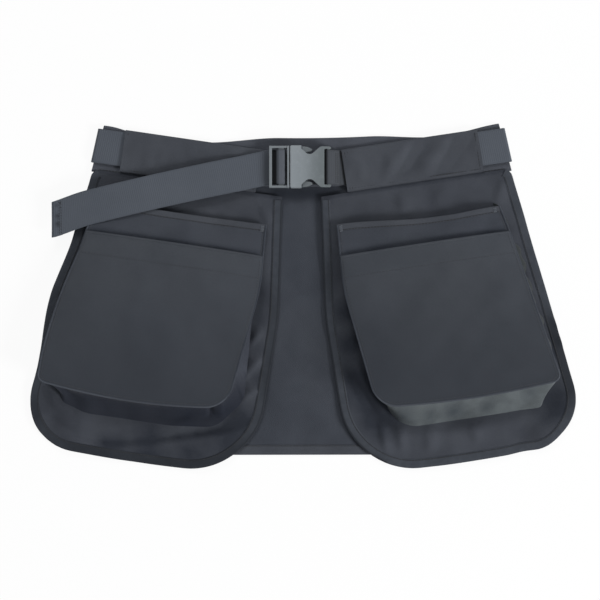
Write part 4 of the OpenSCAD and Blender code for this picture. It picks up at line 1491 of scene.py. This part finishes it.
def on_tail(r, w, z):
    """Points of the strap end: r along it, w across; it starts under the bar and curves down near its tip."""
    start = 1 - ease(r, 0, 40)
    r = r + 0.218 * w * (ease(r, 190, 256) + start) - 1.5 * start
    w = w - 0.7 * start
    w = w + 5.0 * ease(r, 190, 262) ** 2 - 1.4 * swell(r, 0, 200)
    x = TAIL_START[0] + r * math.cos(TAIL_TURN) - w * math.sin(TAIL_TURN)
    y = TAIL_START[1] + r * math.sin(TAIL_TURN) + w * math.cos(TAIL_TURN)
    lift = 0.5 * np.sin(r / 24.0) * ease(r, 20, 60) * (1 - ease(r, 220, 250))
    return np.stack([x, y, z + lift + 0.35 * np.cos(r / 31.0 + w / 9.0) * ease(r, 15, 60)], -1)


tail_run = np.linspace(0, TAIL_LENGTH, 60)
smooth = np.pad(np.interp(tail_run, *TAIL_HEIGHTS.T), 4, "edge")
smooth = np.convolve(smooth, np.ones(9) / 9, "valid")
tail_line = np.concatenate([np.stack([tail_run, smooth], -1), TAIL_TIP])
tail = strap("loose_strap_end", tail_line, on_tail, across=14, step=1.6)
mark_darkening(tail, TAIL_DARKENING)
finish_piece(tail, slate_webbing, None, ["strap_tail"])
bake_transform(tail)
print("loose strap end made,", TAIL_LENGTH, "mm long")

# %% [markdown]
# The buckle's CAD solids already have the right shape, but a moulding has no sharp edge. They could be
# modelled again from boxes; instead each is copied, its loose triangles are merged into clean faces, and
# every edge is rounded by a Bevel, which is what catches the light.

# %% Buckle mouldings
def moulding(name, node, body, rounding, finish):
    bpy.ops.object.select_all(action="DESELECT")
    piece = bpy.data.objects.new(name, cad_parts[node].data.copy())
    scene.collection.objects.link(piece)
    select_only(piece)
    bpy.ops.object.mode_set(mode="EDIT")
    bpy.ops.mesh.select_all(action="SELECT")
    bpy.ops.mesh.remove_doubles(threshold=1e-5)
    bpy.ops.mesh.dissolve_limited(angle_limit=math.radians(1.0))
    bpy.ops.object.mode_set(mode="OBJECT")
    round_edges(piece, rounding, 3, 35)
    finish_piece(piece, finish, body, [node])
    print(name, len(piece.data.polygons), "faces")


moulding("buckle_socket_shell", "buckle_socket", "waist", 0.6, socket_acetal)
moulding("buckle_plug_ladder", "buckle_plug", "left_front", 0.5, grey_acetal)
moulding("upper_prong_moulding", "upper_prong", "upper_prong", 0.35, shaded_prong_acetal)
moulding("lower_prong_moulding", "lower_prong", "lower_prong", 0.35, shaded_prong_acetal)

# %% [markdown]
# Thread is what makes sewn work look sewn. A bump pattern could suggest it, but it would vanish in the
# exported mesh. One stitch is modelled from a six-sided cylinder with its ends bevelled to a taper, then
# copied along every seam; each group of seams becomes one mesh.

# %% One stitch, and rows of it
STITCH_TAPER = 0.17
bpy.ops.object.select_all(action="DESELECT")
bpy.ops.mesh.primitive_cylinder_add(vertices=6, radius=0.5, depth=1.0, rotation=(0, math.pi / 2, 0))
model = bpy.context.object
bpy.ops.object.transform_apply(rotation=True)
bpy.ops.object.mode_set(mode="EDIT")
bpy.ops.mesh.select_all(action="SELECT")
bpy.ops.mesh.bevel(offset=STITCH_TAPER, segments=1, affect="EDGES")
bpy.ops.object.mode_set(mode="OBJECT")
STITCH_POINTS = np.array([v.co for v in model.data.vertices])
STITCH_FACES = [tuple(p.vertices) for p in model.data.polygons]
bpy.data.objects.remove(model)
print("one stitch has", len(STITCH_FACES), "faces")


def sew(name, rows, thread, body, length=3.1, pitch=3.7, width=1.0, high=0.4):
    """Stitches along lines of CAD-frame points, in millimetres, lying on cloth that faces up."""
    points, faces = [], []
    for row in rows:
        row = walk(row, 0.8)
        run = run_of(row)
        for middle in np.arange(pitch / 2, run[-1], pitch):
            ends = [np.array([np.interp(middle + k * length / 2, run, c) for c in row.T]) for k in (-1, 1)]
            along = (ends[1] - ends[0]) / max(1e-6, np.linalg.norm(ends[1] - ends[0]))
            across = np.cross(UP, along)
            across = across / np.linalg.norm(across)
            basis = np.stack([along * length, across * width, np.cross(along, across) * high])
            faces += [tuple(i + len(points) * len(STITCH_POINTS) for i in f) for f in STITCH_FACES]
            points.append((ends[0] + ends[1]) / 2 + STITCH_POINTS @ basis)
    mesh = bpy.data.meshes.new(name)
    mesh.from_pydata((np.concatenate(points) * MM).tolist(), [], faces)
    piece = bpy.data.objects.new(name, mesh)
    scene.collection.objects.link(piece)
    finish_piece(piece, thread, body)
    print(name, len(points), "stitches")
    return piece


# %% [markdown]
# On each side stitches run along the inner edge of the binding, under the pocket's hem, round its rolled
# edge and over the ends of the sleeve. Short dense bars lock the pocket's corners. Each row is a line in
# the frame of its cloth, a little above it, so that it lies on every fold.

# %% Sew both sides
BINDING_INSET, MOUTH_INSET, EDGE_INSET, BACK_INSET = 8.2, 6.6, 3.2, 10.2
binding_row = BINDING_WALK + leftwards(BINDING_WALK) * BINDING_INSET
mouth_row = walk([(171, -MOUTH_INSET), (-17.5, -MOUTH_INSET)], EDGE_STEP)
edge_row = walk(POCKET_EDGE, EDGE_STEP)
edge_row = edge_row + leftwards(edge_row) * EDGE_INSET
below_patch_top = edge_row[:, 1] < PATCH_TOP
first, last = np.argmax(below_patch_top), len(edge_row) - np.argmax(below_patch_top[::-1])
upper_rows = [edge_row[:first], edge_row[last:]]
lower_row = edge_row[edge_row[:, 1] < PATCH_TOP - 3]
hem_v = PATCH_TOP - PATCH_HEM
hem_row = walk([(reach(POCKET_SIDES[1], hem_v) - 3, hem_v),
                (reach(POCKET_SIDES[0], hem_v) + 3, hem_v)], EDGE_STEP)
bars = [np.array([(a + 0.9 * k, -1.0), (a + 0.9 * k, -8.5)]) for a in (-15.5, 164.5) for k in range(4)]
for side in (RIGHT, LEFT):
    name, body = NAMES[side], FLAP_BODY[side]
    rows = [draped(side, *binding_row.T, 1.25), on_front(side, *mouth_row.T, 1.05)]
    sew("flap_stitches_" + name, rows, dark_thread, body)
    rows = [on_patch(side, *hem_row.T, 0.45), on_patch(side, *lower_row.T, 0.5)]
    rows += [on_front(side, *row.T, 0.5) for row in upper_rows if len(row) > 3]
    sew("pocket_stitches_" + name, rows, soft_thread, body, width=0.8)
    rows = [on_front(side, *bar.T, 1.15) for bar in bars]
    sew("pocket_corner_tacks_" + name, rows, pale_thread, body, length=1.7, pitch=1.9, width=0.7)
    rows = [on_belt(side, u, np.linspace(-23, 23, 30), 8.32) for u in (3.2, 6.4, 156.5)]
    rows += [on_belt(side, np.linspace(8, 155, 60), -21.5, 8.25)]
    sew("sleeve_stitches_" + name, rows, dark_thread, SLEEVE_BODY[side])

# %% [markdown]
# The rear hem and the rear sleeve have a row each, the loop on the socket is locked by three dense bars,
# and the strap's tip by two short rows and a few strokes along it.

# %% Sew the rear, the loop and the tip
hem_row = HEM_WALK + leftwards(HEM_WALK) * BACK_INSET
rows = [np.stack([hem_row[:, 0], REAR_Y + hem_row[:, 1], np.full(len(hem_row), 1.5)], -1),
        on_rear(np.linspace(-234, 234, 150), -25.0, 3.9)]
sew("rear_stitches", rows, dark_thread, "waist")
LOOP_BARS = ((52.5, -1.15), (54.3, -2.45), (55.6, -3.4))
loop_bar = np.linspace(-18.5, 17.5, 9)
rows = [on_buckle(*np.broadcast_arrays(x, loop_bar, z)) for x, z in LOOP_BARS]
sew("loop_tack", rows, dark_thread, "waist", 1.9, 2.2, 0.9, 0.7)
tip_bar, tip_stroke = np.linspace(-18, 18, 12), np.linspace(246.5, 250.5, 4)
rows = [on_tail(np.full(12, r), tip_bar, 13.75 + (258 - r) * 0.07) for r in (247.0, 249.5)]
rows += [on_tail(tip_stroke, np.full(4, w), 14.2) for w in (-16, -11, -15)]
tip_tack = sew("strap_end_tack", rows, dark_thread, None, 1.5, 3.2, 0.7, 0.5)
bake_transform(tip_tack)

# %% [markdown]
# The outer pocket's outline below its mouth is gathered from the pocket's outline, and the names of each
# side's pieces of cloth are listed.

PATCH_EDGE = np.concatenate([[(reach(POCKET_SIDES[0], PATCH_TOP), PATCH_TOP)],
                             POCKET_EDGE[POCKET_EDGE[:, 1] < PATCH_TOP],
                             [(reach(POCKET_SIDES[1], PATCH_TOP), PATCH_TOP)]])
for side in (RIGHT, LEFT):
    name = NAMES[side]
    "belt_sleeve_" + name
    "pocket_gusset_" + name
    "pocket_front_" + name
    "flap_cloth_" + name
    "belt_strap_" + name
    "belt_sleeve_" + name
